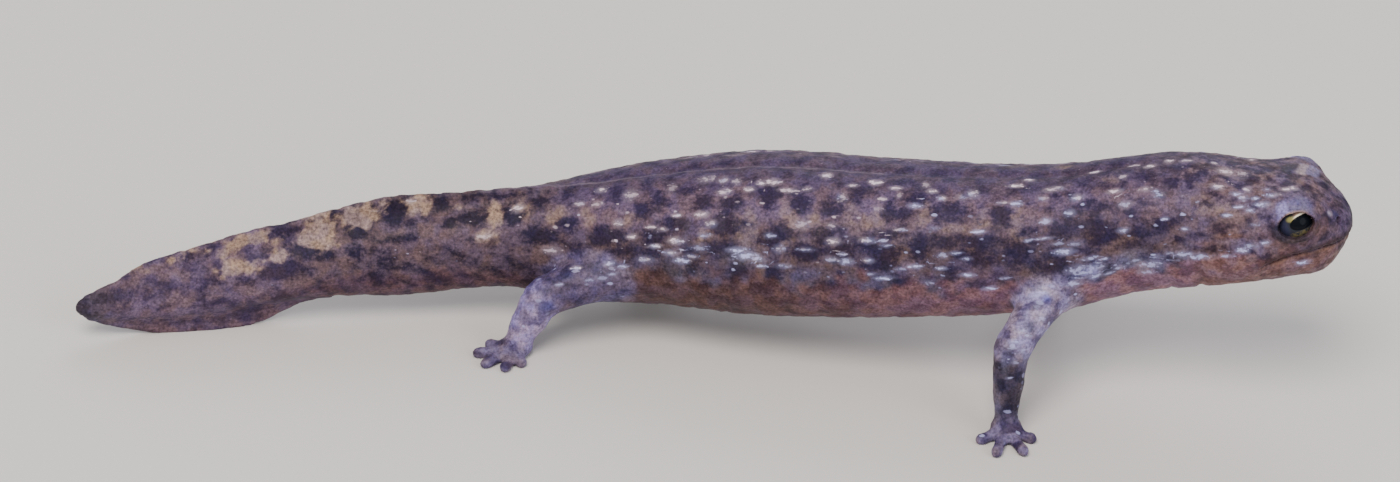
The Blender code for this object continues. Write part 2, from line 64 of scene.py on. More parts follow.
COSTAL_FIRST = 24.0
COSTAL_LAST = 53.5

# Behind the snout, and height of the lips' line
MOUTH = (
    (-1.5, -0.4), (0.5, -0.4), (2.5, -0.42), (4.2, -0.75), (5.6, -1.15), (7.0, -1.5), (8.6, -2.5),
)
MOUTH_CORNER = 6.6
EYE_RADIUS = 1.5
EYE_OUT = 0.3
LID_RADIUS = 2.15
EYE_BEHIND = 4.4
EYE_ASIDE = 2.85
EYE_ABOVE = 1.4
EYE_FORWARD_DEG = 8.0
EYE_UPWARD_DEG = 18.0
LID_OPENING = (1.5, 1.08)
LID_TILT_DEG = 12.0
NOSTRIL_RADIUS = 0.32
NOSTRIL_PLACE = (1.3, 2.05, 1.25)

# Behind the snout, and height over the tail's own edge
FIN_UPPER = (
    (62.6, 0.1), (67.0, 0.88), (71.5, 1.0), (74.4, 1.35), (77.5, 1.65), (80.6, 1.55), (83.8, 1.3),
    (86.5, 1.5), (90.0, 1.5), (94.0, 1.27), (97.0, 0.5), (98.9, 0.12),
)
FIN_LOWER = (
    (80.5, 0.1), (83.5, 0.75), (86.0, 1.6), (90.0, 1.85), (94.0, 1.5), (97.0, 0.85), (98.9, 0.3),
)
FIN_GAP = 0.3  # the fins stand this far off the tail's own edge in the solids

# Lengths of the toes, from the inner one
FORE_TOES = (1.7, 2.7, 2.9, 2.0)
HIND_TOES = (1.5, 2.4, 2.9, 2.7, 1.7)

# Each leg's joints from the root to the foot: behind the snout, to the left and above the floor
LEGS = {
    "fore_right": {
        "path": (
            (21.3, -0.8, 11.2), (23.3, -4.2, 9.9), (25.8, -7.6, 7.3),
            (26.1, -8.5, 4.8), (26.1, -9.1, 2.1), (26.0, -9.4, 0.9),
        ),
        "radii": (1.9, 1.65, 1.35, 1.25, 1.0, 0.8),
        "heading_deg": -84.0,
        "toes": FORE_TOES,
    },
    "fore_left": {
        "path": (
            (21.3, 2.6, 11.2), (22.6, 6.4, 9.9), (24.4, 9.4, 7.2),
            (23.4, 10.8, 4.6), (22.2, 11.9, 2.1), (21.9, 12.3, 0.9),
        ),
        "radii": (1.9, 1.65, 1.35, 1.25, 1.0, 0.8),
        "heading_deg": 62.0,
        "toes": FORE_TOES,
    },
    "hind_right": {
        "path": (
            (55.6, 3.0, 6.9), (59.0, 0.7, 5.9), (62.6, -0.7, 4.8),
            (63.8, -1.3, 3.2), (64.6, -1.7, 1.7), (64.9, -1.9, 0.9),
        ),
        "radii": (2.3, 1.9, 1.55, 1.4, 1.1, 0.85),
        "heading_deg": -134.0,
        "toes": HIND_TOES,
    },
    "hind_left": {
        "path": (
            (55.6, 7.4, 6.9), (54.3, 10.3, 6.5), (53.2, 12.6, 5.2),
            (54.5, 13.7, 3.4), (55.7, 14.6, 1.7), (56.1, 15.0, 0.9),
        ),
        "radii": (2.3, 1.9, 1.5, 1.35, 1.05, 0.85),
        "heading_deg": 76.0,
        "toes": HIND_TOES,
    },
}
TOE_RADIUS = 0.46
TOE_SPREAD_DEG = 118.0
TOE_HEIGHT = 0.36
PALM_SIZE = (1.35, 1.2, 0.72)
PALM_HEIGHT = 0.6

FAR = 9.0  # further than anything that is looked for reaches

# Shape that only the skin has. Along a toe: share of its length, and of its thickness
TOE_RUN = ((-0.1, 1.15), (0.3, 0.98), (0.62, 0.9), (0.86, 1.0), (0.94, 0.8))
TOE_FILLET = 0.45
ANKLE_FILLET = 0.7
LEG_JOINTS = ((2.1, 0.35, 0.12), (4.1, 0.3, -0.05))  # along the leg, half length, how far it stands out
LEG_REACH = 5.5  # beyond a leg's own box, where it is still worked out
ROOT_FILLETS = ((0, 2.6), (1.2, 2.0), (2.2, 0.8), (5, 0.3))  # along the leg, fillet against the body
FIN_THICKNESS = (0.5, 0.26)  # radius at its root and at its edge
FIN_ROOT = 0.7  # how deep it is rooted in the tail
FIN_WAVE = (0.12, 0.55)  # how far its edge waves aside, and the turn of the waves
FIN_FILLET = 0.8

# Folds round the throat: behind the snout, lean, depth, half width, and where round the body they fade
THROAT_FOLDS = ((GULAR_FOLD, 0.9, 0.22, 0.3, -0.3, 0.5), (14.6, 0.6, 0.16, 0.3, 0.0, 0.8))
SHOULDER_FOLD = (17.4, 0.12, 0.35)  # behind the snout, depth, half width
COSTAL_GROOVE = (0.11, 0.36)  # depth, half width
BACK_GROOVE = (0.25, 0.1)  # depth, half width as an angle
TAIL_GROOVE = (0.05, 0.25)  # depth, half width
TAIL_GROOVE_SPACING = 1.9
CHEEK_GROOVE = ((5.9, 0.4), (7.0, 0.9), (8.75, 1.15), (11.9, 1.0), (14.0, 0.6), (15.6, -0.4))
CHEEK_DEPTH = (0.2, 0.22)  # depth, half width
CHEEK_SWELL = (0.14, 0.8)  # of the swelling below the groove
CHEEK_DROP = 1.5  # how far below it the swelling lies
VENT_SWELL = 0.35
LIP_GROOVE = (0.34, 0.13)  # depth, half width
LIP_BEVEL = (0.16, 0.3)
JAW_SET_IN = 0.2

# The raised rim of the lids and the crease round it: distance outside the opening, size, half width
LID_RIM = (0.16, 0.13, 0.17)
LID_CREASE = (0.55, 0.12, 0.16)
LID_FILLET = 1.1
LID_CORNERS = 1.8  # 2 is an oval, and less gives the opening pointed ends
LID_FLARE = (0.82, 0.34)  # the opening's share at the eye's middle, and how it widens outwards
SOCKET_GAP = 0.12
SOCKET_FILLET = 0.1
NOSTRIL_FILLET = 0.25
NOSTRIL_FLAT = 1.25

# How the animal was seen when its markings were noted: from its right, this far above the floor
SEEN_FROM_DEG = 31.0

# Markings, read off the photograph and turned into millimetres: behind the snout, height above
# the spine as seen, half length, half height
DARK_BLOTCHES = (
    (3.8, 2.2, 0.6, 0.4), (5.2, 3.8, 0.5, 0.5), (6.8, 2.8, 0.3, 0.4), (8.5, 3.2, 0.5, 0.5),
    (11, -1.3, 0.4, 0.3), (11.2, 1.8, 0.5, 0.3), (12.9, 3.3, 0.7, 0.5), (14.4, 3, 0.5, 0.4),
    (14.8, -0.5, 0.6, 0.5), (16.5, -0.8, 0.7, 0.6), (17.4, -1.8, 0.9, 0.2), (17.7, 0.9, 0.4, 0.3),
    (20, -0.2, 1.4, 1), (20.7, 1.9, 1, 0.6), (21.4, 1.3, 1.4, 0.8), (21.7, -3.4, 0.5, 0.3),
    (22.9, 0.2, 0.9, 0.5), (23.7, -2.4, 1.4, 0.8), (25.3, 0.6, 0.8, 0.3), (26.1, -1.4, 1.1, 0.9),
    (27.2, -3.3, 0.7, 0.3), (27.6, 1.6, 0.9, 0.8), (28.9, -3.6, 0.6, 0.4), (29, -1.8, 1.3, 0.6),
    (29, -0.2, 1.3, 0.4), (30.5, -1.5, 1, 0.4), (31, -2.9, 0.5, 0.4), (31.3, 2.1, 1.5, 0.7),
    (31.6, -0.1, 1.3, 0.5), (33.7, -0.7, 0.7, 1), (34.2, 3.3, 0.9, 0.4), (34.6, -3.5, 0.9, 0.5),
    (34.8, 2, 0.9, 0.5), (35.8, -1.2, 1.1, 0.5), (35.8, 0.3, 1, 0.4), (36.1, 1.9, 0.5, 0.9),
    (36.4, -2.2, 0.9, 0.5), (37.6, -0.9, 0.9, 0.5), (38.9, 3.6, 0.5, 0.5), (39.6, -1.5, 0.9, 0.5),
    (40.6, 2.3, 1, 0.9), (40.8, -4.2, 1.1, 0.4), (40.9, -0.3, 1, 0.6), (42.5, -1.7, 1.3, 0.6),
    (43, 2.7, 0.8, 0.8), (44.4, 0.4, 0.7, 0.5), (44.9, -3.7, 0.7, 0.5), (45.4, -0.4, 0.9, 0.8),
    (45.7, 3.1, 0.9, 0.9), (45.8, -4.5, 0.6, 0.4), (47.7, -3, 0.8, 0.5), (48.7, 0.4, 1.4, 0.6),
    (48.7, 2.2, 0.9, 0.7), (49.2, -1.7, 1.4, 0.6), (51, 2.4, 0.9, 0.5), (51.5, -2.4, 0.6, 0.9),
    (52.1, 3.2, 0.5, 0.3), (52.9, 0.6, 1.3, 0.5), (53.2, -3.2, 0.8, 0.7), (54.3, -0.3, 0.9, 0.7),
    (54.4, 2.5, 0.6, 0.6), (54.7, -1.8, 0.5, 0.4), (55.5, 1.7, 0.8, 0.5), (57.1, -1.7, 1.7, 0.3),
    (57.8, 3.2, 0.6, 0.6), (58.4, -0.1, 1.6, 0.7), (60.4, -1.4, 0.9, 0.4), (61.7, 0.9, 0.9, 0.6),
    (63.6, 2.9, 0.9, 0.4), (63.8, 0.1, 1.4, 0.7), (66, 2, 0.9, 0.8), (69.2, 1.8, 1.2, 0.5),
    (70.5, 1.6, 0.5, 0.7), (71.6, 3, 0.8, 0.7), (74.9, 0.7, 1.4, 0.3), (75.2, 2.7, 0.9, 1),
    (75.7, -0.9, 0.6, 0.5), (76.4, -2.5, 0.4, 0.4), (77.7, 3.3, 0.4, 0.2), (78.3, -0.1, 0.6, 0.5),
    (78.4, 1.8, 1.1, 0.7), (80.2, 0, 0.7, 0.3), (80.6, 3.2, 1.5, 0.3), (82, 0.7, 1.3, 0.6),
    (83.7, -2.7, 1, 0.5), (83.7, 2.7, 1.2, 0.5), (83.8, -0.4, 2, 0.7), (85.6, 1.5, 1.1, 0.4),
    (86.4, -2.8, 1.1, 0.6), (86.7, -0.6, 0.6, 0.4), (88.6, 0.8, 0.5, 0.6), (89.1, 2.9, 0.7, 0.3),
    (90.4, 2.7, 0.9, 0.4), (93.1, 0.4, 1.2, 0.6), (97, 0.5, 1.2, 0.5),
)
TAN_PATCHES = (
    (10.8, 0.9, 0.7, 0.3), (12.1, 1.2, 0.7, 0.5), (19, 3.9, 0.6, 0.3), (26.4, 1.1, 0.6, 1),
    (28.9, 1.6, 0.5, 0.9), (30.8, 0.9, 0.9, 0.3), (33.4, 1.9, 0.6, 0.8), (35, -0.4, 0.7, 0.4),
    (37.3, 1.2, 0.9, 0.6), (39, 2.1, 0.4, 0.6), (42, 1.3, 0.5, 0.4), (44.1, 1.5, 0.6, 1),
    (44.4, -1, 0.8, 0.5), (47.2, 0.1, 0.7, 1.7), (50.8, -0.3, 0.5, 0.5), (56.5, 1.4, 0.6, 0.4),
    (60, 1.5, 0.5, 0.5), (62.3, 1.8, 0.7, 0.5), (65.3, 2.5, 0.6, 0.5), (67.3, 1.9, 0.5, 1.1),
    (67.8, 0.2, 0.7, 0.4), (73.4, 3.1, 1.1, 0.7), (77.7, 2.8, 1.5, 0.9), (81.1, 1.7, 1.4, 1),
    (84, 1.1, 0.6, 0.5), (85.7, 0.6, 0.6, 0.4), (86.5, 2.8, 1.9, 0.4), (87.5, 0.9, 1.2, 0.6),
    (88.1, 2.4, 0.5, 0.4), (92.4, 2.5, 0.5, 0.2),
)
# White flecks, partly pigment and partly painted glints
WHITE_FLECKS_AND_GLINTS = (
    (4, -3.66, 0.47, 0.12), (5.1, 2.39, 0.27, 0.12), (5.8, 2.39, 0.27, 0.12),
    (6.9, 1.87, 0.39, 0.12), (7.2, -2.09, 0.27, 0.12), (7.3, 2.34, 0.23, 0.1), (7.6, 1.25, 0.43, 0.16),
    (8.2, -0.38, 0.23, 0.12), (8.2, 1.65, 0.27, 0.12), (8.3, -2.32, 0.55, 0.18),
    (8.5, 0.79, 0.27, 0.14), (8.7, 2.43, 0.23, 0.16), (8.9, -2.62, 0.35, 0.16), (9, 3.61, 0.31, 0.23),
    (9.1, 1.73, 0.31, 0.14), (9.4, 1.02, 0.31, 0.1), (9.6, 2.04, 0.31, 0.12), (10, -3.09, 0.39, 0.11),
    (10.2, 3.77, 0.47, 0.2), (10.3, 0.4, 0.31, 0.12), (11, 2.59, 0.39, 0.17), (11, 4.65, 0.27, 0.12),
    (12.1, -2.99, 0.66, 0.19), (13.4, -2.85, 0.59, 0.17), (13.4, -0.82, 0.27, 0.12),
    (13.4, 4.73, 0.31, 0.1), (14.3, -2.79, 0.31, 0.12), (15.1, 0, 0.23, 0.11),
    (15.2, -2.95, 0.39, 0.12), (15.4, 2.12, 0.31, 0.17), (15.8, -3.51, 0.62, 0.23),
    (15.9, 2.49, 0.23, 0.12), (16.1, -4.1, 0.47, 0.2), (16.2, 4.57, 0.31, 0.1), (16.6, 2.8, 0.35, 0.14),
    (16.9, -3.01, 0.31, 0.11), (18, -3.31, 0.31, 0.12), (18.1, 1.69, 0.39, 0.23),
    (18.2, -0.25, 0.31, 0.17), (18.3, 4.01, 0.27, 0.16), (18.7, 2.97, 0.39, 0.12),
    (18.8, -3.58, 0.39, 0.12), (19.4, -2.56, 0.31, 0.1), (19.6, -3.06, 0.39, 0.12),
    (19.8, -3.74, 0.39, 0.14), (20.2, -3.13, 0.47, 0.23), (20.5, -2.31, 0.55, 0.14),
    (20.8, -2.91, 0.47, 0.16), (21, -3.49, 0.39, 0.16), (21.4, -4.08, 0.47, 0.23),
    (21.4, -3.14, 0.55, 0.27), (21.6, -1.01, 0.47, 0.2), (21.7, 2.9, 0.39, 0.2),
    (22.2, 1.62, 0.31, 0.2), (22.5, -1.62, 0.55, 0.2), (23.2, -0.77, 0.39, 0.14),
    (23.7, -4.48, 0.27, 0.16), (23.7, 3.57, 0.62, 0.17), (23.8, -6.49, 0.31, 0.2),
    (24.1, -5.53, 0.27, 0.2), (24.1, 1.25, 0.39, 0.2), (24.2, -0.22, 0.55, 0.11),
    (24.3, 3.07, 0.31, 0.16), (24.5, -4.48, 0.31, 0.16), (24.8, -7.97, 0.23, 0.12),
    (25.1, -9.02, 0.2, 0.12), (25.3, 4.58, 0.31, 0.1), (25.5, -7.22, 0.35, 0.12),
    (25.5, -0.21, 0.31, 0.12), (25.7, -8.13, 0.39, 0.12), (25.9, -9.91, 0.23, 0.16),
    (26.2, -8.8, 0.23, 0.1), (26.3, -10.99, 0.2, 0.09), (26.4, 2.75, 0.35, 0.16),
    (26.4, 4.08, 0.39, 0.1), (26.9, -3.18, 0.39, 0.12), (27.4, 2.72, 0.39, 0.12),
    (28, -4.08, 0.39, 0.12), (29.3, 0.65, 0.39, 0.12), (29.8, -2.94, 0.39, 0.12),
    (29.8, 3.64, 0.35, 0.23), (30.1, -1.76, 0.31, 0.12), (30.7, 3.41, 0.39, 0.2),
    (30.9, -1.3, 0.47, 0.12), (31.9, -1.53, 0.35, 0.2), (32, -2.47, 0.31, 0.11),
    (32.1, 3.24, 0.27, 0.16), (32.8, -3.6, 0.31, 0.16), (32.8, 0.87, 0.31, 0.12),
    (32.8, 3.79, 0.31, 0.12), (33.5, 4.33, 0.23, 0.23), (33.9, -2.36, 0.39, 0.12),
    (34.3, 2.57, 0.39, 0.16), (35.1, -2.69, 0.31, 0.12), (35.2, 0.75, 0.39, 0.12),
    (35.6, 3.42, 0.23, 0.2), (35.7, 4.04, 0.31, 0.12), (36.1, -0.76, 0.39, 0.12),
    (36.2, -3.35, 0.47, 0.12), (36.7, -0.23, 0.23, 0.12), (36.7, 3.23, 0.27, 0.12),
    (37, 2.27, 0.31, 0.23), (37.3, 4.32, 0.39, 0.16), (37.4, -2.92, 0.31, 0.11),
    (37.5, -1.91, 0.31, 0.14), (37.9, -0.36, 0.47, 0.18), (39.1, 4, 0.31, 0.12),
    (39.3, -2.22, 0.47, 0.2), (39.7, -1.54, 0.27, 0.12), (39.9, 3.16, 0.31, 0.27),
    (40.6, -2.06, 0.39, 0.2), (40.6, -0.41, 0.39, 0.2), (40.9, 0.75, 0.31, 0.2),
    (41.3, 4.76, 0.31, 0.16), (42.6, -1.15, 0.47, 0.14), (42.7, 3.74, 0.31, 0.16),
    (43.2, 0.71, 0.47, 0.31), (44, -2.7, 0.47, 0.16), (44.2, 3.43, 0.55, 0.16),
    (44.7, -1.24, 0.31, 0.23), (45.3, 4.11, 0.47, 0.2), (45.4, -0.24, 0.31, 0.16),
    (46, -2.69, 0.31, 0.12), (46.2, 4, 0.31, 0.16), (46.3, -2.07, 0.39, 0.16),
    (46.7, -1.93, 0.39, 0.14), (47.3, -2.02, 0.55, 0.23), (47.4, 3.42, 0.31, 0.16),
    (48, -1.63, 0.55, 0.16), (48.3, 4.05, 0.31, 0.2), (49.1, 3.32, 0.39, 0.2), (49.3, 4.12, 0.31, 0.2),
    (50.2, 0.62, 0.31, 0.2), (50.6, -0.49, 0.39, 0.16), (50.7, 4.27, 0.47, 0.23),
    (50.9, -1.28, 0.55, 0.27), (51, 1.33, 0.39, 0.2), (51.5, -1.99, 0.47, 0.16),
    (52.3, -2.47, 0.47, 0.16), (52.9, -0.8, 0.47, 0.2), (53, 1.25, 0.31, 0.12),
    (53.2, -1.91, 0.39, 0.16), (53.5, 3.48, 0.31, 0.31), (53.9, -0.01, 0.31, 0.12),
    (54.4, -1.26, 0.39, 0.14), (54.8, 0.49, 0.31, 0.12), (55, -2.35, 0.47, 0.2),
    (56.4, -0.41, 0.31, 0.16), (56.6, 3.01, 0.43, 0.31), (56.7, -2.94, 0.31, 0.12),
    (57.3, 0.82, 0.31, 0.23), (57.5, -3.37, 0.31, 0.12), (58, -2.62, 0.35, 0.16),
    (58.2, -3.65, 0.39, 0.16), (58.9, 3.62, 0.31, 0.16), (59.1, 2.43, 0.31, 0.16),
    (59.3, -3.82, 0.31, 0.12), (60.6, -2.65, 0.31, 0.12), (60.7, 2.6, 0.31, 0.16),
    (61.7, -3.86, 0.23, 0.1), (62.7, -1.28, 0.55, 0.23), (65.4, 2.47, 0.39, 0.23),
    (67.8, 0.13, 0.47, 0.2), (73.9, 3.45, 0.31, 0.2),
)
LEFT_SHIFT = 2.7  # the left side carries the same kinds of marks this much further back
MARK_SEEDS = {"right": 41, "left": 42}
FLECK_LAYERS = 3
FLECK_REACH = 2.5  # beyond a fleck's own length, where its halo is still worked out
TINT_REACH = 2.5
BLOTCH_REACH = 3.0  # beyond a blotch's own size, where its edge is still worked out

# Where the belly's paler skin starts: behind the snout, height above the spine as seen
BELLY_LINE = (
    (3, -2.4), (8, -3.3), (12, -3.5), (16, -3.9), (21, -4.3), (28, -4.1), (35, -3.8), (46, -4.0),
    (55, -3.2), (60, -2.7), (66, -2.0), (72, -1.4), (78, -1.0), (84, -2.4), (90, -3.0),
)

# Skin tones by zone, laid over one another in this order: the pale ground, and the dark net over it
TONES = {
    "flank": ("#5e5262", "#302944"),
    "warm flank": ("#6e5c5b", "#33283c"),
    "low flank": ("#635d76", "#302f4a"),
    "high flank": ("#826f86", "#3c324f"),
    "back": ("#5b4d66", "#3b304c"),
    "head": ("#78697c", "#3c324c"),
    "warm head": ("#826c6c", "#41323d"),
    "tail side": ("#716068", "#292338"),
    "tail foot": ("#735560", "#402f42"),
    "tail blade": ("#837182", "#51445d"),
    "tail tip": ("#5a5268", "#3a3446"),
    # the rear belly's reddish tones are painted darker, as painted shade under the body
    "shaded rear belly": ("#6e5759", "#463236"),
    "front belly": ("#9f7d8a", "#715160"),
    "throat": ("#9b7c7d", "#725456"),
    "jaw": ("#725c61", "#44333a"),
    "snout": ("#68586e", "#2f273d"),
    "upper arm": ("#aba2c4", "#665d7c"),
    "forearm": ("#534b5b", "#2b283d"),
    "thigh": ("#6c6281", "#433c5a"),
    "shank": ("#b0a4d2", "#6e6694"),
    "foot": ("#857c96", "#4a4160"),
}
TAN = "#b39d8c"
# the colour of the painted highlight along the ridge of the back
BACK_HIGHLIGHT = "#8f8092"
# the flecks' colour, partly pigment and partly painted glint
SILVER_AND_GLINT = ("#c6c8ff", "#fbe6f6")  # bluish on the low flank, and creamy higher up
CLOUDS = ("#eee8ff", "#fff2ea")  # what bluer and browner skin reflects of the tones

# Soft local colours: behind the snout, height above the spine as seen, half length, half height,
# colour and strength
TINTS = (
    (1.6, 0.43, 0.39, 0.39, "#3b3a64", 0.8), (2.2, -0.07, 0.47, 0.31, "#3a3048", 0.7),
    (2.1, 0.62, 0.23, 0.16, "#c8bec6", 0.8), (3.2, -1.07, 0.62, 0.31, "#84646a", 0.4),
    (9.8, -1.61, 1.1, 0.17, "#84604c", 0.45), (11.1, -2.5, 1.1, 0.2, "#33262b", 0.7),
    (11.8, -1.79, 1.1, 0.17, "#84604c", 0.45), (15.5, -3.6, 0.7, 0.31, "#9a93a8", 0.5),
    (17.5, -2.79, 0.94, 0.55, "#8f8da9", 0.6), (20.2, -3.18, 0.7, 0.39, "#a3a4d8", 0.75),
    (20.7, -3.98, 0.7, 0.31, "#8c88b8", 0.6), (23.4, -4.84, 0.47, 0.31, "#5c5fb0", 0.8),
    (23.9, -6.04, 0.55, 0.62, "#bfb4c6", 0.75), (24.3, -4.34, 0.78, 0.39, "#c8c4ea", 0.85),
    (24.8, -6.95, 0.47, 0.47, "#3e4052", 0.7), (24.9, -9.67, 0.31, 0.55, "#85809c", 0.6),
    (25.5, -7.26, 0.39, 0.23, "#c0bcdc", 0.7), (25.7, -12.41, 0.47, 0.94, "#2f2e46", 0.6),
    (25.8, -8.16, 0.55, 0.23, "#a9a9d0", 0.7), (26.5, -9.29, 0.39, 0.7, "#36344e", 0.7),
    (26.7, -10.01, 0.23, 0.78, "#8a8aa8", 0.6), (27.2, -12.75, 0.47, 0.78, "#8a86a0", 0.6),
    (28.4, -3.47, 1.9, 0.94, "#8a6c80", 0.45), (34.4, -2.48, 0.7, 0.47, "#90809a", 0.55),
    (47.5, -2.08, 1.4, 0.62, "#8d8894", 0.5), (52.6, -2.92, 0.86, 0.94, "#85808c", 0.5),
    (58.6, -2.88, 1.1, 0.78, "#7a7696", 0.5), (60.6, -5.39, 0.7, 0.31, "#3c3250", 0.7),
    (61, -6.33, 0.94, 0.55, "#84727e", 0.6), (61.1, -3.24, 0.47, 0.31, "#464a76", 0.6),
    (61.6, -4.76, 0.94, 0.39, "#5a5472", 0.5), (62.8, -5.54, 0.7, 0.39, "#565ca8", 0.8),
    (62.9, -4.32, 0.55, 0.31, "#44466e", 0.6), (64, -5.41, 0.62, 0.39, "#b0a4d2", 0.75),
    (64.5, -6.11, 0.78, 0.55, "#9a90b8", 0.7),
)

# Sizes in the skin's pattern, in millimetres
NET_SIZE = 0.909
GRAIN_SIZE = 0.333
SHADE_SIZE = 0.217
CLOUD_SIZE = 1.43
HALO_FRAY = 0.385
FLECK_FRAY = 0.238
SPECK_SPACING = 0.526
SILVER_CLOUD_SIZE = 1.11
GLAND_SPACING = 0.278
WRINKLE_SIZE = 0.2
DAMP_PATCH_SIZE = 0.769
GLAND_HEIGHT = 0.06
SKIN_BRIGHTNESS = 0.8  # the tones are written a little lighter than the skin reflects
NET_STRETCH = (0.6, 1, 1)  # blotches and flecks lie along the body
SPECK_STRETCH = (0.55, 1, 1)

# The oval pupil and the eye's other sizes, in the eyeball's radii from the middle of the cornea
PUPIL_PLACE = (0.35, 0.09, 0)
PUPIL_HALF = (0.67, 0.37)
PUPIL_TILT_DEG = 8.0
CORNEA_SWELL = 0.035
EYE_DUST_SIZE = 1 / 6
EYE_RINGS = (72, 48)  # how many faces it has round it and from front to back

# The camera: its lens and sensor in millimetres, and its distance and aim in metres
CAMERA_ROLL_DEG = 3.5
CAMERA_LENS = 130.3
CAMERA_SENSOR = 36.0
CAMERA_DISTANCE = 0.400
CAMERA_AIM = (-0.00092, 0.0, 0.0103)

# The studio, in metres: each lamp's name, place, size, power and colour
LAMPS = (
    ("key", (-0.15, -0.45, 0.75), 0.5, 6.9, "#fff6ee"),
    ("fill", (0.65, -0.5, 0.4), 0.6, 2.5, "#eef2ff"),
    ("back", (0.1, 0.7, 0.55), 0.6, 2.7, "#f4f4ff"),
)
ROOM_COLOUR = "#eceae8"
ROOM_LIGHT = 0.62
FLOOR_HALF = 3.0
PAINT_TOOTH = 1 / 900

# The skin's mesh: its grain, the box that it is worked out in, and the parts that are made finer
PITCH = 0.26
SHELL = 2.0  # only points this near the skin are worked out on the fine grid
GRID_LOW = (-51.5, -16.5, -1.5)
GRID_HIGH = (51.5, 19.5, 22.5)
FINE_HEAD = 9.5  # this far back from the snout
FINE_LIPS = 0.42
FINE_LIDS = 2.15
FINE_NOSTRILS = 0.7

# The low lumps in its surface: height, length and seed
SKIN_LUMPS = ((0.022, 2.6, 11), (0.016, 1.1, 12), (0.008, 0.5, 13))


def linear(hex_colour):
    """A linear colour, with an alpha of 1, from an sRGB hex value."""
    parts = [int(hex_colour[i : i + 2], 16) / 255 for i in (1, 3, 5)]
    return (*(p / 12.92 if p <= 0.04045 else ((p + 0.055) / 1.055) ** 2.4 for p in parts), 1)


def smooth(table, at):
    """The table's rows at these distances, on a cubic through all its rows."""
    rows = np.array(table, float)
    place, value = rows[:, 0], rows[:, 1:]
    slope = np.gradient(value, place, axis=0)
    i = np.clip(np.searchsorted(place, at) - 1, 0, len(place) - 2)
    step = (place[i + 1] - place[i])[:, None]
    t = np.clip((at - place[i])[:, None] / step, 0, 1)
    start = (2 * t**3 - 3 * t**2 + 1) * value[i] + (t**3 - 2 * t**2 + t) * step * slope[i]
    end = (3 * t**2 - 2 * t**3) * value[i + 1] + (t**3 - t**2) * step * slope[i + 1]
    return start + end


def step_up(value, low, high):
    """0 below low, 1 above high and smooth between."""
    t = np.clip((value - low) / (high - low), 0, 1)
    return t * t * (3 - 2 * t)


def ripple(points, length, seed, waves=28):
    """Smooth random values of about -1 to 1, with bumps about this long in millimetres."""
    draw = np.random.default_rng(seed)
    way = draw.normal(size=(waves, 3))
    way *= 2 * np.pi / length * draw.uniform(0.7, 1.5, (waves, 1)) / np.linalg.norm(way, axis=1)[:, None]
    turn = draw.uniform(0, 2 * np.pi, waves)
    return np.cos(points @ way.T + turn).sum(1) * math.sqrt(2 / waves)


# The spine and the body's sizes on a fine row, looked up by all that follows
ROW_START, ROW_END, ROW_STEP = -8.0, 108.0, 0.05
ROW = np.arange(ROW_START, ROW_END, ROW_STEP)


def spine_points(behind):
    aside_above = smooth(SPINE, behind)
    return np.column_stack([BODY_LENGTH / 2 - behind, aside_above])


def unit(rows):
    return rows / np.linalg.norm(rows, axis=-1, keepdims=True)


def spine_table():
    """Centre, forward, left and up along the spine, twelve columns."""
    reach = 0.5
    forward = unit(spine_points(ROW - reach) - spine_points(ROW + reach))
    left = unit(np.cross((0, 0, 1), forward))
    return np.hstack([spine_points(ROW), forward, left, np.cross(forward, left)])


SPINE_ROWS = spine_table()
BODY_ROWS = smooth(BODY, ROW)


def look_up(rows, behind):
    at = np.clip((behind - ROW_START) / ROW_STEP, 0, len(ROW) - 2)
    i = at.astype(int)
    t = (at - i)[:, None]
    return rows[i] * (1 - t) + rows[i + 1] * t


def body_place(points):
    """Behind the snout, to the left of the spine and above it, for points in millimetres."""
    behind = BODY_LENGTH / 2 - points[:, 0]
    for _ in range(4):
        rows = look_up(SPINE_ROWS, behind)
        behind = behind - ((points - rows[:, :3]) * rows[:, 3:6]).sum(1)
    rows = look_up(SPINE_ROWS, behind)
    gap = points - rows[:, :3]
    return behind, (gap * rows[:, 6:9]).sum(1), (gap * rows[:, 9:12]).sum(1)


def on_spine(behind, aside, above):
    row = look_up(SPINE_ROWS, np.array([behind]))[0]
    return row[:3] + row[6:9] * aside + row[9:12] * above


def dome(distance, length):
    short = 1 - np.clip(distance / length, 0, 1)
    return np.sqrt(np.maximum(1 - short * short, 0))


def body_sizes(behind):
    """Half width, height and depth about the spine, rounded off at both ends."""
    ends = dome(behind, SNOUT_ROUND) * dome(BODY_LENGTH - behind, TAIL_ROUND)
    return (look_up(BODY_ROWS, behind) * ends[:, None]).T


def blend_union(one, two, width):
    """The nearer of two skins, with a fillet of about this width where they meet."""
    near = np.maximum(width - np.abs(one - two), 0) / np.maximum(width, 1e-6)
    return np.minimum(one, two) - near * near * width / 4


def line_press(value, depth, width):
    """How deep a groove of this depth and half width presses at this distance from its middle."""
    return depth * np.exp(-((value / width) ** 2))


def eye_axes(side):
    """The middle of the lids, the way the eye looks, and the length and height of its opening."""
    row = look_up(SPINE_ROWS, np.array([EYE_BEHIND]))[0]
    forward, left, up = row[3:6], row[6:9], row[9:12]
    centre = on_spine(EYE_BEHIND, side * EYE_ASIDE, EYE_ABOVE)
    ahead, rise = math.radians(EYE_FORWARD_DEG), math.radians(EYE_UPWARD_DEG)
    look = left * side * math.cos(ahead) + forward * math.sin(ahead)
    look = unit(look * math.cos(rise) + up * math.sin(rise))
    tilt = math.radians(LID_TILT_DEG)
    flat = unit(forward * math.cos(tilt) + up * math.sin(tilt))
    length = unit(flat - look * flat.dot(look))
    height = np.cross(length, look)
    return centre, look, length, height if height.dot(up) > 0 else -height


def eye_centre(side):
    centre, look, _, _ = eye_axes(side)
    return centre + look * EYE_OUT


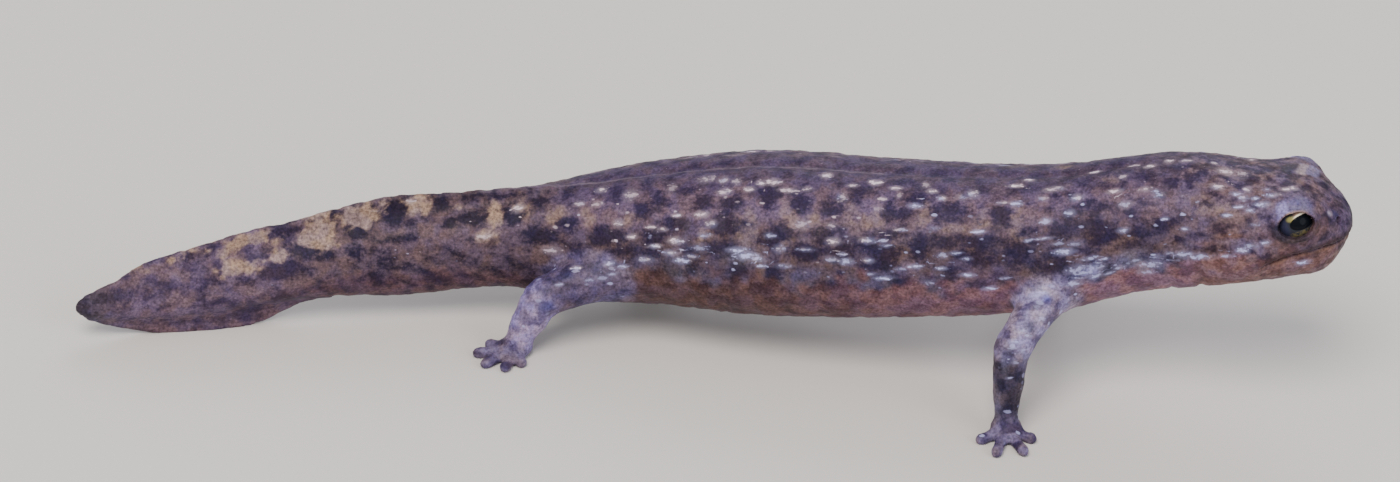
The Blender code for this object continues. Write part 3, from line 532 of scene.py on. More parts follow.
def bars(points, joints, radii):
    """Distance to round bars between these joints, and where along them the nearest point is."""
    nearest = np.full(len(points), 1e3)
    along = np.zeros(len(points))
    for i, (a, b) in enumerate(zip(joints, joints[1:])):
        gap, run = points - a, b - a
        t = np.clip(gap @ run / run.dot(run), 0, 1)
        out = np.linalg.norm(gap - t[:, None] * run, axis=1) - (radii[i] + t * (radii[i + 1] - radii[i]))
        along = np.where(out < nearest, i + t, along)
        nearest = np.minimum(nearest, out)
    return nearest, along


def foot_skin(points, name, leg):
    """Distance to a palm and its toes."""
    palm = np.array([BODY_LENGTH / 2 - leg["path"][-1][0], leg["path"][-1][1], PALM_HEIGHT])
    heading = math.radians(leg["heading_deg"])
    gap = points - palm
    ahead = gap[:, 0] * math.cos(heading) + gap[:, 1] * math.sin(heading)
    across = gap[:, 1] * math.cos(heading) - gap[:, 0] * math.sin(heading)
    local = np.column_stack([ahead, across, gap[:, 2]])
    size = np.array(PALM_SIZE)
    near, nearer = np.linalg.norm(local / size, axis=1), np.linalg.norm(local / size**2, axis=1)
    skin = near * (near - 1) / np.maximum(nearer, 1e-6)
    outward = 1 if "right" in name else -1
    toes = leg["toes"]
    for i, length in enumerate(toes):
        angle = heading - outward * (i / (len(toes) - 1) - 0.5) * math.radians(TOE_SPREAD_DEG)
        way = np.array([math.cos(angle), math.sin(angle), 0])
        joints, radii = [], []
        for share, thickness in TOE_RUN:
            height = TOE_HEIGHT + (PALM_HEIGHT - TOE_HEIGHT) * max(0.0, 0.6 - share)
            place = palm + way * (PALM_SIZE[1] * 0.55 + length * share)
            joints.append(np.array([place[0], place[1], height]))
            radii.append(TOE_RADIUS * thickness)
        skin = blend_union(skin, bars(points, joints, radii)[0], TOE_FILLET)
    return skin


def leg_run(leg):
    """Points in millimetres and radii on a smooth run through the leg's joints."""
    joints = [(BODY_LENGTH / 2 - u, aside, above) for u, aside, above in leg["path"]]
    rows = [(i, *joint, radius) for i, (joint, radius) in enumerate(zip(joints, leg["radii"]))]
    run = smooth(rows, np.linspace(0, len(joints) - 1, 21))
    return run[:, :3], run[:, 3]


def legs_skin(points):
    """Distance to the nearest leg, where along it, and the fillet it takes against the body."""
    skin = np.full(len(points), 1e3)
    along = np.zeros(len(points))
    for name, leg in LEGS.items():
        joints, radii = leg_run(leg)
        low, high = joints.min(0) - LEG_REACH, joints.max(0) + LEG_REACH
        near = np.flatnonzero(((points > low) & (points < high)).all(1))
        if not len(near):
            continue
        out, at = bars(points[near], list(joints), radii)
        at = at * (len(leg["path"]) - 1) / (len(joints) - 1)
        for place, half, rise in LEG_JOINTS:
            out = out - line_press(at - place, rise, half)
        out = blend_union(out, foot_skin(points[near], name, leg), ANKLE_FILLET)
        closer = out < skin[near]
        along[near] = np.where(closer, at, along[near])
        skin[near] = np.minimum(skin[near], out)
    fillet = np.interp(along, *zip(*ROOT_FILLETS))
    return skin, along, fillet


def fin_skin(behind, aside, above, table, edge, side):
    """Distance to a thin fold that stands over the tail's edge."""
    tall = smooth(table, behind)[:, 0] * step_up(behind, table[0][0] - 1.5, table[0][0] + 0.5)
    root = edge - FIN_ROOT
    tip = edge + np.maximum(tall + FIN_GAP - 0.27, -0.4)
    up = side * above
    t = np.clip((up - root) / np.maximum(tip - root, 0.05), 0, 1)
    wave = FIN_WAVE[0] * np.sin(behind * FIN_WAVE[1]) * t
    thick, thin = FIN_THICKNESS
    out = np.hypot(aside - wave, up - (root + t * (tip - root)))
    past = np.maximum(behind - table[-1][0], 0) + np.maximum(table[0][0] - behind, 0)
    return out - (thick - (thick - thin) * t) + past


def furrows(behind, aside, above):
    """How deep the skin is pressed in, in millimetres, by its folds and grooves."""
    angle = np.arctan2(above, np.abs(aside))
    pitch = (COSTAL_LAST - COSTAL_FIRST) / (COSTAL_GROOVES - 1)
    slant = behind + 0.35 * np.sin(angle * 2)
    nearest = np.clip(np.round((slant - COSTAL_FIRST) / pitch), 0, COSTAL_GROOVES - 1)
    off = slant - COSTAL_FIRST - nearest * pitch
    flank = step_up(np.cos(angle), 0.4, 0.85)
    press = line_press(off, *COSTAL_GROOVE) * flank
    along_back = dome(behind - 14, 6.0) * dome(60 - behind, 6.0)
    press += line_press(angle - math.pi / 2, *BACK_GROOVE) * along_back
    for place, lean, depth, half, start, end in THROAT_FOLDS:
        off = behind - place + lean * np.cos(angle)
        press += line_press(off, depth, half) * step_up(-angle, start, end)
    press += line_press(behind - SHOULDER_FOLD[0], *SHOULDER_FOLD[1:]) * flank
    cheek = above - np.interp(behind, *zip(*CHEEK_GROOVE))
    on_cheek = step_up(behind, 5.6, 6.6) * step_up(-behind, -15.8, -14.0)
    on_cheek *= step_up(np.cos(angle), 0.5, 0.8)
    press += line_press(cheek, *CHEEK_DEPTH) * on_cheek
    press -= line_press(cheek + CHEEK_DROP, *CHEEK_SWELL) * on_cheek
    slanting = (behind + 0.7 * np.abs(above) - 66) % TAIL_GROOVE_SPACING
    on_tail = step_up(behind, 64, 68) * step_up(-behind, -96, -90)
    press += line_press(np.abs(slanting - TAIL_GROOVE_SPACING / 2), *TAIL_GROOVE) * on_tail
    vent = np.hypot((behind - VENT - 0.5) / 1.9, angle + math.pi / 2)
    return press - VENT_SWELL * np.exp(-(vent**2) * 1.6)


def mouth_press(behind, above):
    """The groove between the lips, and the lower jaw set in behind the upper lip."""
    line = above - np.interp(behind, *zip(*MOUTH))
    ahead_of_corner = step_up(-behind, -MOUTH_CORNER - 0.5, -MOUTH_CORNER + 0.5)
    press = line_press(line, *LIP_GROOVE) + line_press(line + 0.12, *LIP_BEVEL)
    jaw = np.exp(-((np.minimum(line, 0) / 1.5) ** 2)) * step_up(-line, -0.05, 0.12)
    return ahead_of_corner * (press + JAW_SET_IN * jaw)


def lid_skin(points, skin):
    """The body's skin with raised lids, an almond opening in front of each eye, and the nostrils."""
    for side in (1, -1):
        centre, look, length, height = eye_axes(side)
        gap = points - centre
        along, rise, out = gap @ length, gap @ height, gap @ look
        bulge = np.linalg.norm(gap, axis=1) - LID_RADIUS
        skin = blend_union(skin, bulge, LID_FILLET)
        grow = LID_FLARE[0] + LID_FLARE[1] * np.clip(out, 0, None) / (2 * LID_RADIUS)
        half_long, half_high = LID_OPENING[0] * grow, LID_OPENING[1] * grow
        almond = np.abs(along / half_long) ** LID_CORNERS + np.abs(rise / half_high) ** LID_CORNERS
        rim = (almond ** (1 / LID_CORNERS) - 1) * half_high
        front = step_up(out, 0.3, 0.9)
        skin = skin - line_press(rim - LID_RIM[0], *LID_RIM[1:]) * front
        skin = skin + line_press(rim - LID_CREASE[0], *LID_CREASE[1:]) * front
        socket = EYE_RADIUS - SOCKET_GAP - np.linalg.norm(points - eye_centre(side), axis=1)
        opening = np.maximum(np.maximum(rim, socket), -out)
        skin = -blend_union(-skin, opening, SOCKET_FILLET)
        behind, aside, above = NOSTRIL_PLACE
        nostril = points - on_spine(behind, side * aside, above)
        pit = np.linalg.norm(nostril * (1.0, 1.0, NOSTRIL_FLAT), axis=1) - NOSTRIL_RADIUS
        skin = -blend_union(-skin, pit, NOSTRIL_FILLET)
    return skin


def skin_field(points, fine=True):
    """Distance from the skin, less than 0 inside, for points in millimetres."""
    behind, aside, above = body_place(points)
    inside = np.clip(behind, 0.02, BODY_LENGTH - 0.02)
    width, top, bottom = body_sizes(inside)
    tall = np.where(above > 0, top, bottom)
    square = np.where(above > 0, BACK_SQUARE, BELLY_SQUARE)
    reach = (np.abs(aside / width) ** square + np.abs(above / tall) ** square) ** (1 / square)
    body = np.hypot(aside, above) * (1 - 1 / np.maximum(reach, 1e-3))
    past = np.abs(behind - inside)
    body = np.where(past > 0, np.hypot(np.maximum(body, 0), past), body)
    for table, edge, side in ((FIN_UPPER, top, 1), (FIN_LOWER, bottom, -1)):
        body = blend_union(body, fin_skin(behind, aside, above, table, edge, side), FIN_FILLET)
    if fine:
        body = body + furrows(behind, aside, above) + mouth_press(behind, above)
    legs, _, fillet = legs_skin(points)
    skin = blend_union(body, legs, fillet)
    head = np.flatnonzero(behind < 9)
    skin[head] = lid_skin(points[head], skin[head])
    return skin


def skin_net():
    """Points and four-cornered faces of the skin, from a grid that is fine only near it. Each point is
    the mean of the places where the skin crosses its cell's edges."""
    split = 4
    lots = 8
    low = np.array(GRID_LOW)
    coarse = PITCH * split
    count = np.ceil((np.array(GRID_HIGH) - low) / coarse).astype(int)
    axes = [low[i] + coarse * (np.arange(count[i]) + 0.5) for i in range(3)]
    middle = np.stack(np.meshgrid(*axes, indexing="ij"), -1).reshape(-1, 3)
    rough = skin_field(middle, fine=False).reshape(count)
    field = rough.repeat(split, 0).repeat(split, 1).repeat(split, 2)
    field = np.where(field < 0, -FAR, FAR)
    near = (np.abs(rough) < SHELL).repeat(split, 0).repeat(split, 1).repeat(split, 2)
    at = np.argwhere(near)
    field[near] = np.concatenate([skin_field(low + PITCH * part) for part in np.array_split(at, lots)])
    cells, crossings, rings = [], [], []
    for axis in range(3):
        order = [axis] + [i for i in range(3) if i != axis]
        turned = field.transpose(order)
        here, there = turned[:-1], turned[1:]
        edge = np.argwhere((here < 0) != (there < 0))
        first, second = here[tuple(edge.T)], there[tuple(edge.T)]
        point = edge.astype(float)
        point[:, 0] += first / (first - second)
        for j, k in ((0, 0), (1, 0), (1, 1), (0, 1)):
            cell = np.empty_like(edge)
            cell[:, order] = edge - (0, j, k)
            place = np.empty_like(point)
            place[:, order] = point
            cells.append(np.ravel_multi_index(cell.T, field.shape))
            crossings.append(place)
        rings.append(len(edge))
    _, index = np.unique(np.concatenate(cells), return_inverse=True)
    places = np.concatenate(crossings)
    share = np.bincount(index)
    verts = np.column_stack([np.bincount(index, places[:, i]) / share for i in range(3)])
    faces, start = [], 0
    for edges in rings:
        faces.append(index[start : start + 4 * edges].reshape(4, edges).T)
        start += 4 * edges
    return low + PITCH * verts, np.concatenate(faces)


def skin_normals(points):
    reach = 0.03
    slopes = []
    for i in range(3):
        shift = np.zeros(3)
        shift[i] = reach
        slopes.append((skin_field(points + shift) - skin_field(points - shift)) / (2 * reach))
    return np.column_stack(slopes)


def onto_skin(points, rounds=3):
    """Moves points to where the field is 0."""
    for _ in range(rounds):
        slope = skin_normals(points)
        steep = np.maximum((slope**2).sum(1), 0.25)
        move = (skin_field(points) / steep)[:, None] * slope
        length = np.linalg.norm(move, axis=1)[:, None]
        points = points - move * np.minimum(1, 0.15 / np.maximum(length, 1e-9))
    return points


def refine(bm, wanted):
    """Halves the edges of the faces whose middles are wanted."""
    middles = np.array([f.calc_center_median() for f in bm.faces])
    chosen = wanted(middles)
    edges = dict.fromkeys(e for f, take in zip(bm.faces, chosen) if take for e in f.edges)
    bmesh.ops.subdivide_edges(bm, edges=list(edges), cuts=1, use_grid_fill=True)


def head_part(middles):
    return middles[:, 0] > BODY_LENGTH / 2 - FINE_HEAD


def fine_part(middles):
    """Lids, lips and nostrils."""
    behind, _, above = body_place(middles)
    line = np.abs(above - np.interp(behind, *zip(*MOUTH)))
    wanted = (line < FINE_LIPS) & (behind < MOUTH_CORNER + 0.6)
    for side in (1, -1):
        wanted |= np.linalg.norm(middles - eye_centre(side), axis=1) < FINE_LIDS
        place, aside, rise = NOSTRIL_PLACE
        nostril = on_spine(place, side * aside, rise)
        wanted |= np.linalg.norm(middles - nostril, axis=1) < FINE_NOSTRILS
    return wanted


def skin_mesh():
    """The skin's bmesh, in millimetres."""
    verts, faces = skin_net()
    mesh = bpy.data.meshes.new("net")
    mesh.from_pydata(verts.tolist(), [], faces.tolist())
    bm = bmesh.new()
    bm.from_mesh(mesh)
    bpy.data.meshes.remove(mesh)
    axes = {"use_axis_x": True, "use_axis_y": True, "use_axis_z": True}
    bmesh.ops.smooth_vert(bm, verts=bm.verts, factor=0.5, **axes)
    for part in (head_part, fine_part):
        refine(bm, part)
    bmesh.ops.triangulate(bm, faces=[f for f in bm.faces if len(f.verts) > 4])
    bmesh.ops.recalc_face_normals(bm, faces=bm.faces)
    return bm


def smooth_mesh(bm, name):
    """A smooth-shaded mesh of the bmesh, which is freed."""
    mesh = bpy.data.meshes.new(name)
    bm.to_mesh(mesh)
    bm.free()
    mesh.shade_smooth()
    return mesh


def put(name, data):
    """Puts a new object in the scene."""
    thing = bpy.data.objects.new(name, data)
    bpy.context.scene.collection.objects.link(thing)
    return thing


def set_points(bm, points):
    for vert, point in zip(bm.verts, points):
        vert.co = point


# The frame and what it says about where the tables lie
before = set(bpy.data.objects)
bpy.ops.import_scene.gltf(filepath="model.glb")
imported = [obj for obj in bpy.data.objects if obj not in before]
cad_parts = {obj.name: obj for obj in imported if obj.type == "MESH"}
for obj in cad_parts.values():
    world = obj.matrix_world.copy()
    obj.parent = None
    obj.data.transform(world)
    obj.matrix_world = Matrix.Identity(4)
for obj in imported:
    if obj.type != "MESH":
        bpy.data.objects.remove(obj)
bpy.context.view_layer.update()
eye_low, eye_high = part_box("eye_right")
SHIFT = np.array((eye_low + eye_high) / 2) / MM - eye_centre(-1)
SHIFT[2] = 0.0  # the floor is the same in both


def build_skin():
    """The skin's object, with its points in the tables' millimetres and their normals."""
    bm = skin_mesh()
    points = onto_skin(np.array([v.co for v in bm.verts]))
    normals = unit(skin_normals(points))
    lumps = sum(height * ripple(points, length, seed) for height, length, seed in SKIN_LUMPS)
    points = points + normals * (lumps * step_up(points[:, 2], 0.3, 1.2))[:, None]
    points[:, 2] = np.maximum(points[:, 2], 0)
    set_points(bm, points)
    bm.normal_update()
    normals = np.array([v.normal for v in bm.verts])
    set_points(bm, (points + SHIFT) * MM)
    return put("salamander_skin", smooth_mesh(bm, "salamander_skin")), points, normals


def mark_centres(marks, view):
    """The vertex at each mark, as seen from one side, or -1 where there is none."""
    place, height, depth, facing, _ = view
    pool = np.flatnonzero(facing > 0.05)
    found = []
    for mark in marks:
        off = (place[pool] - mark[0]) ** 2 + (height[pool] - mark[1]) ** 2
        close = off < off.min() + 0.04
        found.append(pool[close][depth[pool][close].argmax()] if off.min() < 0.36 else -1)
    return found


def mark_places(marks, views, points, forward, reach):
    """For each mark on each side: the vertices near it, their places along and across it in its own
    half sizes, the mark and the size of its half height on the skin."""
    for view in views:
        _, height, _, facing, seed = view
        glow = np.random.default_rng(seed).uniform(0, 1, len(marks))
        for mark, centre, chance in zip(marks, mark_centres(marks, view), glow):
            if centre < 0:
                continue
            half_high = mark[3] / max(facing[centre], 0.5)
            gap = points - points[centre]
            near = np.flatnonzero((np.abs(gap) < reach + mark[2]).all(1))
            gap = gap[near]
            along = gap @ forward[centre]
            across = np.sqrt(np.maximum((gap**2).sum(1) - along**2, 0))
            across *= np.sign(height[near] - height[centre])
            yield near, along / mark[2], across / half_high, mark, half_high, chance


def blotch_depth(marks, views, points, forward):
    """How far each vertex is inside the nearest mark, in millimetres."""
    depth = np.full(len(points), -BLOTCH_REACH)
    for near, x, y, mark, half_high, _ in mark_places(marks, views, points, forward, BLOTCH_REACH):
        inside = (1 - np.hypot(x, y)) * math.sqrt(mark[2] * half_high)
        depth[near] = np.maximum(depth[near], inside)
    return depth


def fleck_layers(marks):
    """Shares the flecks out so that near ones lie in different layers, where they can't run together."""
    layers = [[] for _ in range(FLECK_LAYERS)]
    for mark in marks:
        gaps = []
        for layer in layers:
            room = [math.hypot(mark[0] - other[0], 1.6 * (mark[1] - other[1])) for other in layer]
            gaps.append(min(room, default=BODY_LENGTH))
        layers[gaps.index(max(gaps))].append(mark)
    return layers


def fleck_places(marks, views, points, forward):
    """Each vertex's place in its nearest fleck, in half sizes, and how bright that fleck is."""
    own = np.zeros((len(points), 3))
    nearest = np.full(len(points), FAR)
    second = np.full(len(points), FAR)
    for near, x, y, mark, _, chance in mark_places(marks, views, points, forward, FLECK_REACH):
        slim = np.clip(1.25 - mark[3] / mark[2], 0.3, 1)
        by_the_arm = (mark[1] < -2.2) * (14 < mark[0] < 28)
        glow = slim * (0.3 + 0.7 * chance) * (1 - 0.4 * by_the_arm)
        q = np.hypot(x, y)
        closer = q < nearest[near]
        second[near] = np.where(closer, nearest[near], np.minimum(second[near], q))
        here = near[closer]
        own[here] = np.column_stack([x, y, np.full(len(x), glow)])[closer]
        nearest[here] = q[closer]
    own[:, 2] *= (nearest < 3.8) & (nearest < 0.8 * second)
    own[:, :2] = np.clip(own[:, :2], -4, 4)
    return own


def keep_values(mesh, name, values):
    """Stores three numbers for each vertex."""
    attribute = mesh.attributes.new(name, "FLOAT_VECTOR", "POINT")
    attribute.data.foreach_set("vector", np.asarray(values, np.float32).ravel())


def mix(one, two, share):
    return one * (1 - share[:, None]) + two * share[:, None]


def lid_places(points, side):
    """Places around an eye: along and above its middle, out of the head, and from the lids' edge."""
    centre, look, length, height = eye_axes(side)
    gap = points - centre
    along, rise, out = gap @ length, gap @ height, gap @ look
    reach = np.hypot(along / LID_OPENING[0], rise / LID_OPENING[1])
    return along, rise, out, (reach - 1) * LID_OPENING[1]


def zone_shares(behind, aside, above, seen, leg, along, points):
    """How far each zone of the skin's tones covers the ones before it. Places are in millimetres behind
    the snout, and angles about the spine are in radians up from its side."""
    angle = np.arctan2(above, np.abs(aside))
    soft = 0.35 * ripple(points, 3.0, 21) + 0.2 * ripple(points, 1.2, 22)
    cloud = step_up(ripple(points, 3.4, 23) + 0.6 * ripple(points, 1.4, 24), -0.9, 0.9)
    tail, end = step_up(behind, 58, 66), step_up(behind, 80, 87)
    trunk = 1 - tail
    head = step_up(-behind, -14.5, -10.5)
    snout = step_up(-behind, -3.6, -1.6)
    belly = step_up(np.interp(behind, *zip(*BELLY_LINE)) - seen + soft, -0.5, 0.5)
    belly = np.maximum(belly, step_up(-angle, 0.75, 1.05)) * (1 - leg)
    back = step_up(angle + 0.12 * soft, 0.95, 1.3)
    front = step_up(-behind, -48, -24)
    line = above - np.interp(behind, *zip(*MOUTH))
    return {
        "warm flank": 0.75 * cloud,
        "low flank": 0.8 * step_up(-angle - 0.2 * soft, -0.25, 0.15) * trunk,
        "high flank": 0.7 * step_up(angle + 0.1 * soft, 0.35, 0.8),
        "back": 0.9 * back * (1 - 0.6 * head),
        "head": 0.9 * head,
        "warm head": 0.55 * head * cloud,
        "tail side": 0.85 * tail,
        "tail foot": 0.7 * tail * step_up(-angle - 0.3 * soft, 0.2, 0.75),
        "tail blade": 0.9 * end * (0.6 + 0.4 * cloud),
        "tail tip": step_up(behind, 96.0, 98.6),
        "shaded rear belly": belly * trunk,
        "front belly": belly * trunk * front,
        "throat": belly * step_up(-behind, -12.6, -11.9),
        "jaw": head * step_up(-line, 0.0, 0.5) * (1 - 0.6 * belly) * step_up(-behind, -9.0, -7.0),
        "snout": 0.85 * snout * step_up(line, -0.1, 0.3),
        "upper arm": leg,
        "forearm": leg * step_up(along + 0.15 * soft, 2.0, 2.6),
        "thigh": leg * step_up(behind, 40, 41),
        "shank": leg * step_up(behind, 40, 41) * step_up(along + 0.15 * soft, 1.8, 2.4),
        "foot": leg * step_up(along, 4.0, 4.6),
    }, belly, back


def tint_skin(pale, deep, views, points, forward):
    """Soft local colours over both tones."""
    for near, x, y, tint, _, _ in mark_places(TINTS, views, points, forward, TINT_REACH):
        share = tint[5] * np.exp(-0.7 * (x * x + y * y) ** 1.3)
        colour = np.array(linear(tint[4])[:3])[None, :]
        pale[near] = mix(pale[near], colour, share)
        deep[near] = mix(deep[near], colour * 0.7, 0.8 * share)


def between(value, low, high, soft):
    """1 between low and high, and 0 outside them, over this soft an edge."""
    return step_up(value, low - soft, low + soft) * step_up(-value, -high - soft, -high + soft)


def lay_tones(pale, deep, tones, deeper):
    """Lays colours over both tones, and makes them this much deeper in the dark one."""
    for share, hex_colour in tones:
        colour = np.array(linear(hex_colour)[:3])[None, :]
        pale[:] = mix(pale, colour, share)
        deep[:] = mix(deep, colour * deeper, share)


def lid_tones(pale, deep, points):
    """Lilac upper lids with a tan edge and a painted highlight on their top rear, painted shade in the
    rear corner of the opening, and dark lower lids. The left lid has a pale patch on its inner side, with
    a dark one behind it."""
    strength = 0.9
    for side in (1, -1):
        along, rise, out, away = lid_places(points, side)
        front = step_up(out, 0.2, 0.8)
        over, under = step_up(rise, 0.1, 0.6), step_up(-rise, -0.1, 0.2)
        upper = over * front * between(along, -1.4, 1.35, 0.4)
        upper *= step_up(away, 0.02, 0.12) * step_up(-away, -1.1, -0.5)
        edge = over * between(away, -0.1, 0.1, 0.07) * between(along, -0.7, 0.9, 0.3)
        shaded_corner = step_up(-along, 0.5, 1.1) * step_up(-away, -0.6, -0.1) * step_up(-rise, -0.8, 0.0)
        tones = [
            (upper * (0.6 if side > 0 else 1.0), "#7f7dae"),
            # a painted highlight on the top rear of the upper lid's bulge
            (upper * between(along, -1.25, -0.4, 0.2), "#aca9f6"),
            (upper * step_up(along, 0.3, 0.8), "#847c92"),
            (front * edge, "#b09a8c"),
            # painted shade in the rear corner of the opening
            (front * shaded_corner, "#26283a"),
            (front * under * step_up(along, 0.2, 0.8) * step_up(-away, -0.5, -0.3), "#5e4c50"),
            (front * under * step_up(-away, -0.4, -0.2) * step_up(-along, -0.9, -0.4), "#433b43"),
            (front * under * between(away, 0.35, 0.9, 0.15) * 0.6, "#624c4c"),
        ]
        if side > 0:
            tones += [
                (over * between(along, 0.7, 1.4, 0.2) * between(out, -1.5, 0.15, 0.2), "#b0a6b0"),
                (over * between(along, 1.35, 2.1, 0.15) * between(out, -1.1, 0.4, 0.2), "#938eb0"),
                (over * between(along, -0.3, 0.55, 0.2) * between(out, -1.9, -0.1, 0.3), "#433f52"),
            ]
        lay_tones(pale, deep, [(strength * share, tone) for share, tone in tones], 0.8)


def mouth_tones(pale, deep, behind, above):
    """Painted shadow in the slit between the lips and painted shade under the upper lip, with a thin
    orange-brown edge along the lower one.
    """
    line = above - np.interp(behind, *zip(*MOUTH))
    ahead = step_up(-behind, -MOUTH_CORNER - 0.5, -MOUTH_CORNER + 0.3)
    # painted shade under the upper lip, the lower lip's own orange-brown edge, and painted shadow in the
    # slit
    shade, lip, slit_shadow = (
        ahead * line_press(line - middle, depth, half)
        for middle, depth, half in ((0.34, 0.8, 0.32), (-0.3, 0.55, 0.14), (0, 0.9, 0.14))
    )
    lay_tones(pale, deep, ((shade, "#3c2b32"), (lip, "#86695a"), (slit_shadow, "#2b1f24")), 1.0)


def views_of(points, normals, behind, aside, above):
    """The skin as seen from each side: place behind the snout, height above the spine, nearness,
    how the skin faces the viewer, and a seed. The right side is as in the photograph, and the left
    carries the same kinds of marks further back."""
    tilt = math.radians(SEEN_FROM_DEG)
    rows = look_up(SPINE_ROWS, behind)
    place = BODY_LENGTH / 2 - points[:, 0]
    lower = look_up(SPINE_ROWS, place)
    gap = points - lower[:, :3]
    height = gap[:, 1] * math.sin(tilt) + gap[:, 2] * math.cos(tilt)
    nearness = points[:, 2] * math.sin(tilt) - points[:, 1] * math.cos(tilt)
    facing = normals[:, 2] * math.sin(tilt) - normals[:, 1] * math.cos(tilt)
    facing = np.where(aside < 0.3, facing, -1)
    right = (place, height, nearness, facing, MARK_SEEDS["right"])
    height = above * math.cos(tilt) - aside * math.sin(tilt)
    nearness = above * math.sin(tilt) + aside * math.cos(tilt)
    outward, upward = (normals * rows[:, 6:9]).sum(1), (normals * rows[:, 9:12]).sum(1)
    facing = upward * math.sin(tilt) + outward * math.cos(tilt)
    facing = np.where(aside > -0.2, facing, -1)
    left = (behind - LEFT_SHIFT, height, nearness, facing, MARK_SEEDS["left"])
    return right, left


def dress_skin(skin, points, normals):
    """Works out what the skin's material needs at each vertex."""
    behind, aside, above = body_place(points)
    forward = look_up(SPINE_ROWS, behind)[:, 3:6]
    tilt = math.radians(SEEN_FROM_DEG)
    seen = above * math.cos(tilt) - np.abs(aside) * math.sin(tilt)
    legs, along, _ = legs_skin(points)
    leg = step_up(-legs, -1.1, -0.25)
    views = views_of(points, normals, behind, aside, above)
    shares, belly, back = zone_shares(behind, aside, above, seen, leg, along, points)

    # The two tones
    pale = np.tile(linear(TONES["flank"][0])[:3], (len(points), 1))
    deep = np.tile(linear(TONES["flank"][1])[:3], (len(points), 1))
    for zone, share in shares.items():
        light, dark = (np.array(linear(tone)[:3])[None, :] for tone in TONES[zone])
        pale, deep = mix(pale, light, share), mix(deep, dark, share)
    on_tail, tip = step_up(behind, 60, 68), step_up(behind, 84, 90)
    tan = blotch_depth(TAN_PATCHES, views, points, forward)
    tan = tan + 0.17 * ripple(points, 1.0, 26) + 0.1 * ripple(points, 0.5, 27)
    tan_share = step_up(tan, -0.4, 0.2) * (0.35 + 0.6 * on_tail) * (1 - leg)
    pale = mix(pale, np.array(linear(TAN)[:3])[None, :], tan_share)
    tint_skin(pale, deep, views, points, forward)
    lid_tones(pale, deep, points)
    mouth_tones(pale, deep, behind, above)

    # How thick the dark net is, in millimetres inside its blotches: evener on the head, neck and belly
    dark = blotch_depth(DARK_BLOTCHES, views, points, forward) + 0.28
    head, front = step_up(-behind, -22, -9), step_up(-behind, -33, -22)
    even = np.maximum.reduce([belly, 0.9 * back, tip, 0.75 * leg])
    dark = np.minimum(dark, 0.75 - 0.22 * front - 0.23 * head - 0.3 * tip)
    strewn = (0.18 + 0.22 * leg) * ripple(points, 1.6, 28)
    dark = np.maximum(dark, -0.3 + 0.3 * even + 0.1 * front + 0.05 * head + strewn)
    dark = dark + 0.22 * head * ripple(points, 0.95, 29)
    dark = dark - np.clip(tan + 0.15, 0, 0.5) * (0.3 + 1.3 * on_tail)

    # How many small specks there are, and how far each place is from the middle of the back, where a pale
    # line is painted as a highlight on its ridge
    small = (1 - belly) * (1 - 0.6 * back) * (1 - 0.4 * on_tail) * (1 - 0.85 * step_up(behind, 80, 88))
    small *= step_up(behind, 5.0, 9.0) * (1 + 0.35 * leg)
    ridge = np.where(above > 0, np.abs(aside + 0.1), FAR)
    ridge += 3 * (1 - step_up(behind, 32, 36) * step_up(-behind, -72, -68))

    mesh = skin.data
    keep_values(mesh, "pale", pale)
    keep_values(mesh, "deep", deep)
    keep_values(mesh, "marks", np.column_stack([dark, small, ridge]))
    for i, layer in enumerate(fleck_layers(WHITE_FLECKS_AND_GLINTS)):
        flecks = fleck_places(layer, views, points, forward)
        flecks[:, 2] *= 1 - back * (aside > 0.2)
        keep_values(mesh, f"fleck_{i}", flecks)


# Settings of two kinds of node. A MapRange takes its value in 0, the range it reads in 1 and 2, and the
# range it gives in 3 and 4. A Mix takes its share in 0, and the two colours in 6 and 7.
SMOOTH = {"interpolation_type": "SMOOTHSTEP"}
COLOURS = {"data_type": "RGBA"}


def add(tree, kind, inputs=None, **settings):
    """Adds a node with its settings, and its inputs as values or as links from sockets or nodes."""
    node = tree.nodes.new("ShaderNode" + kind)
    for name, value in settings.items():
        setattr(node, name, value)
    for name, value in (inputs or {}).items():
        if isinstance(value, bpy.types.Node):
            value = next(socket for socket in value.outputs if socket.enabled)
        if isinstance(value, bpy.types.NodeSocket):
            tree.links.new(value, node.inputs[name])
        else:
            node.inputs[name].default_value = value
    return node


def new_material(name):
    material = bpy.data.materials.new(name)
    material.use_nodes = True
    material.node_tree.nodes.clear()
    return material, material.node_tree


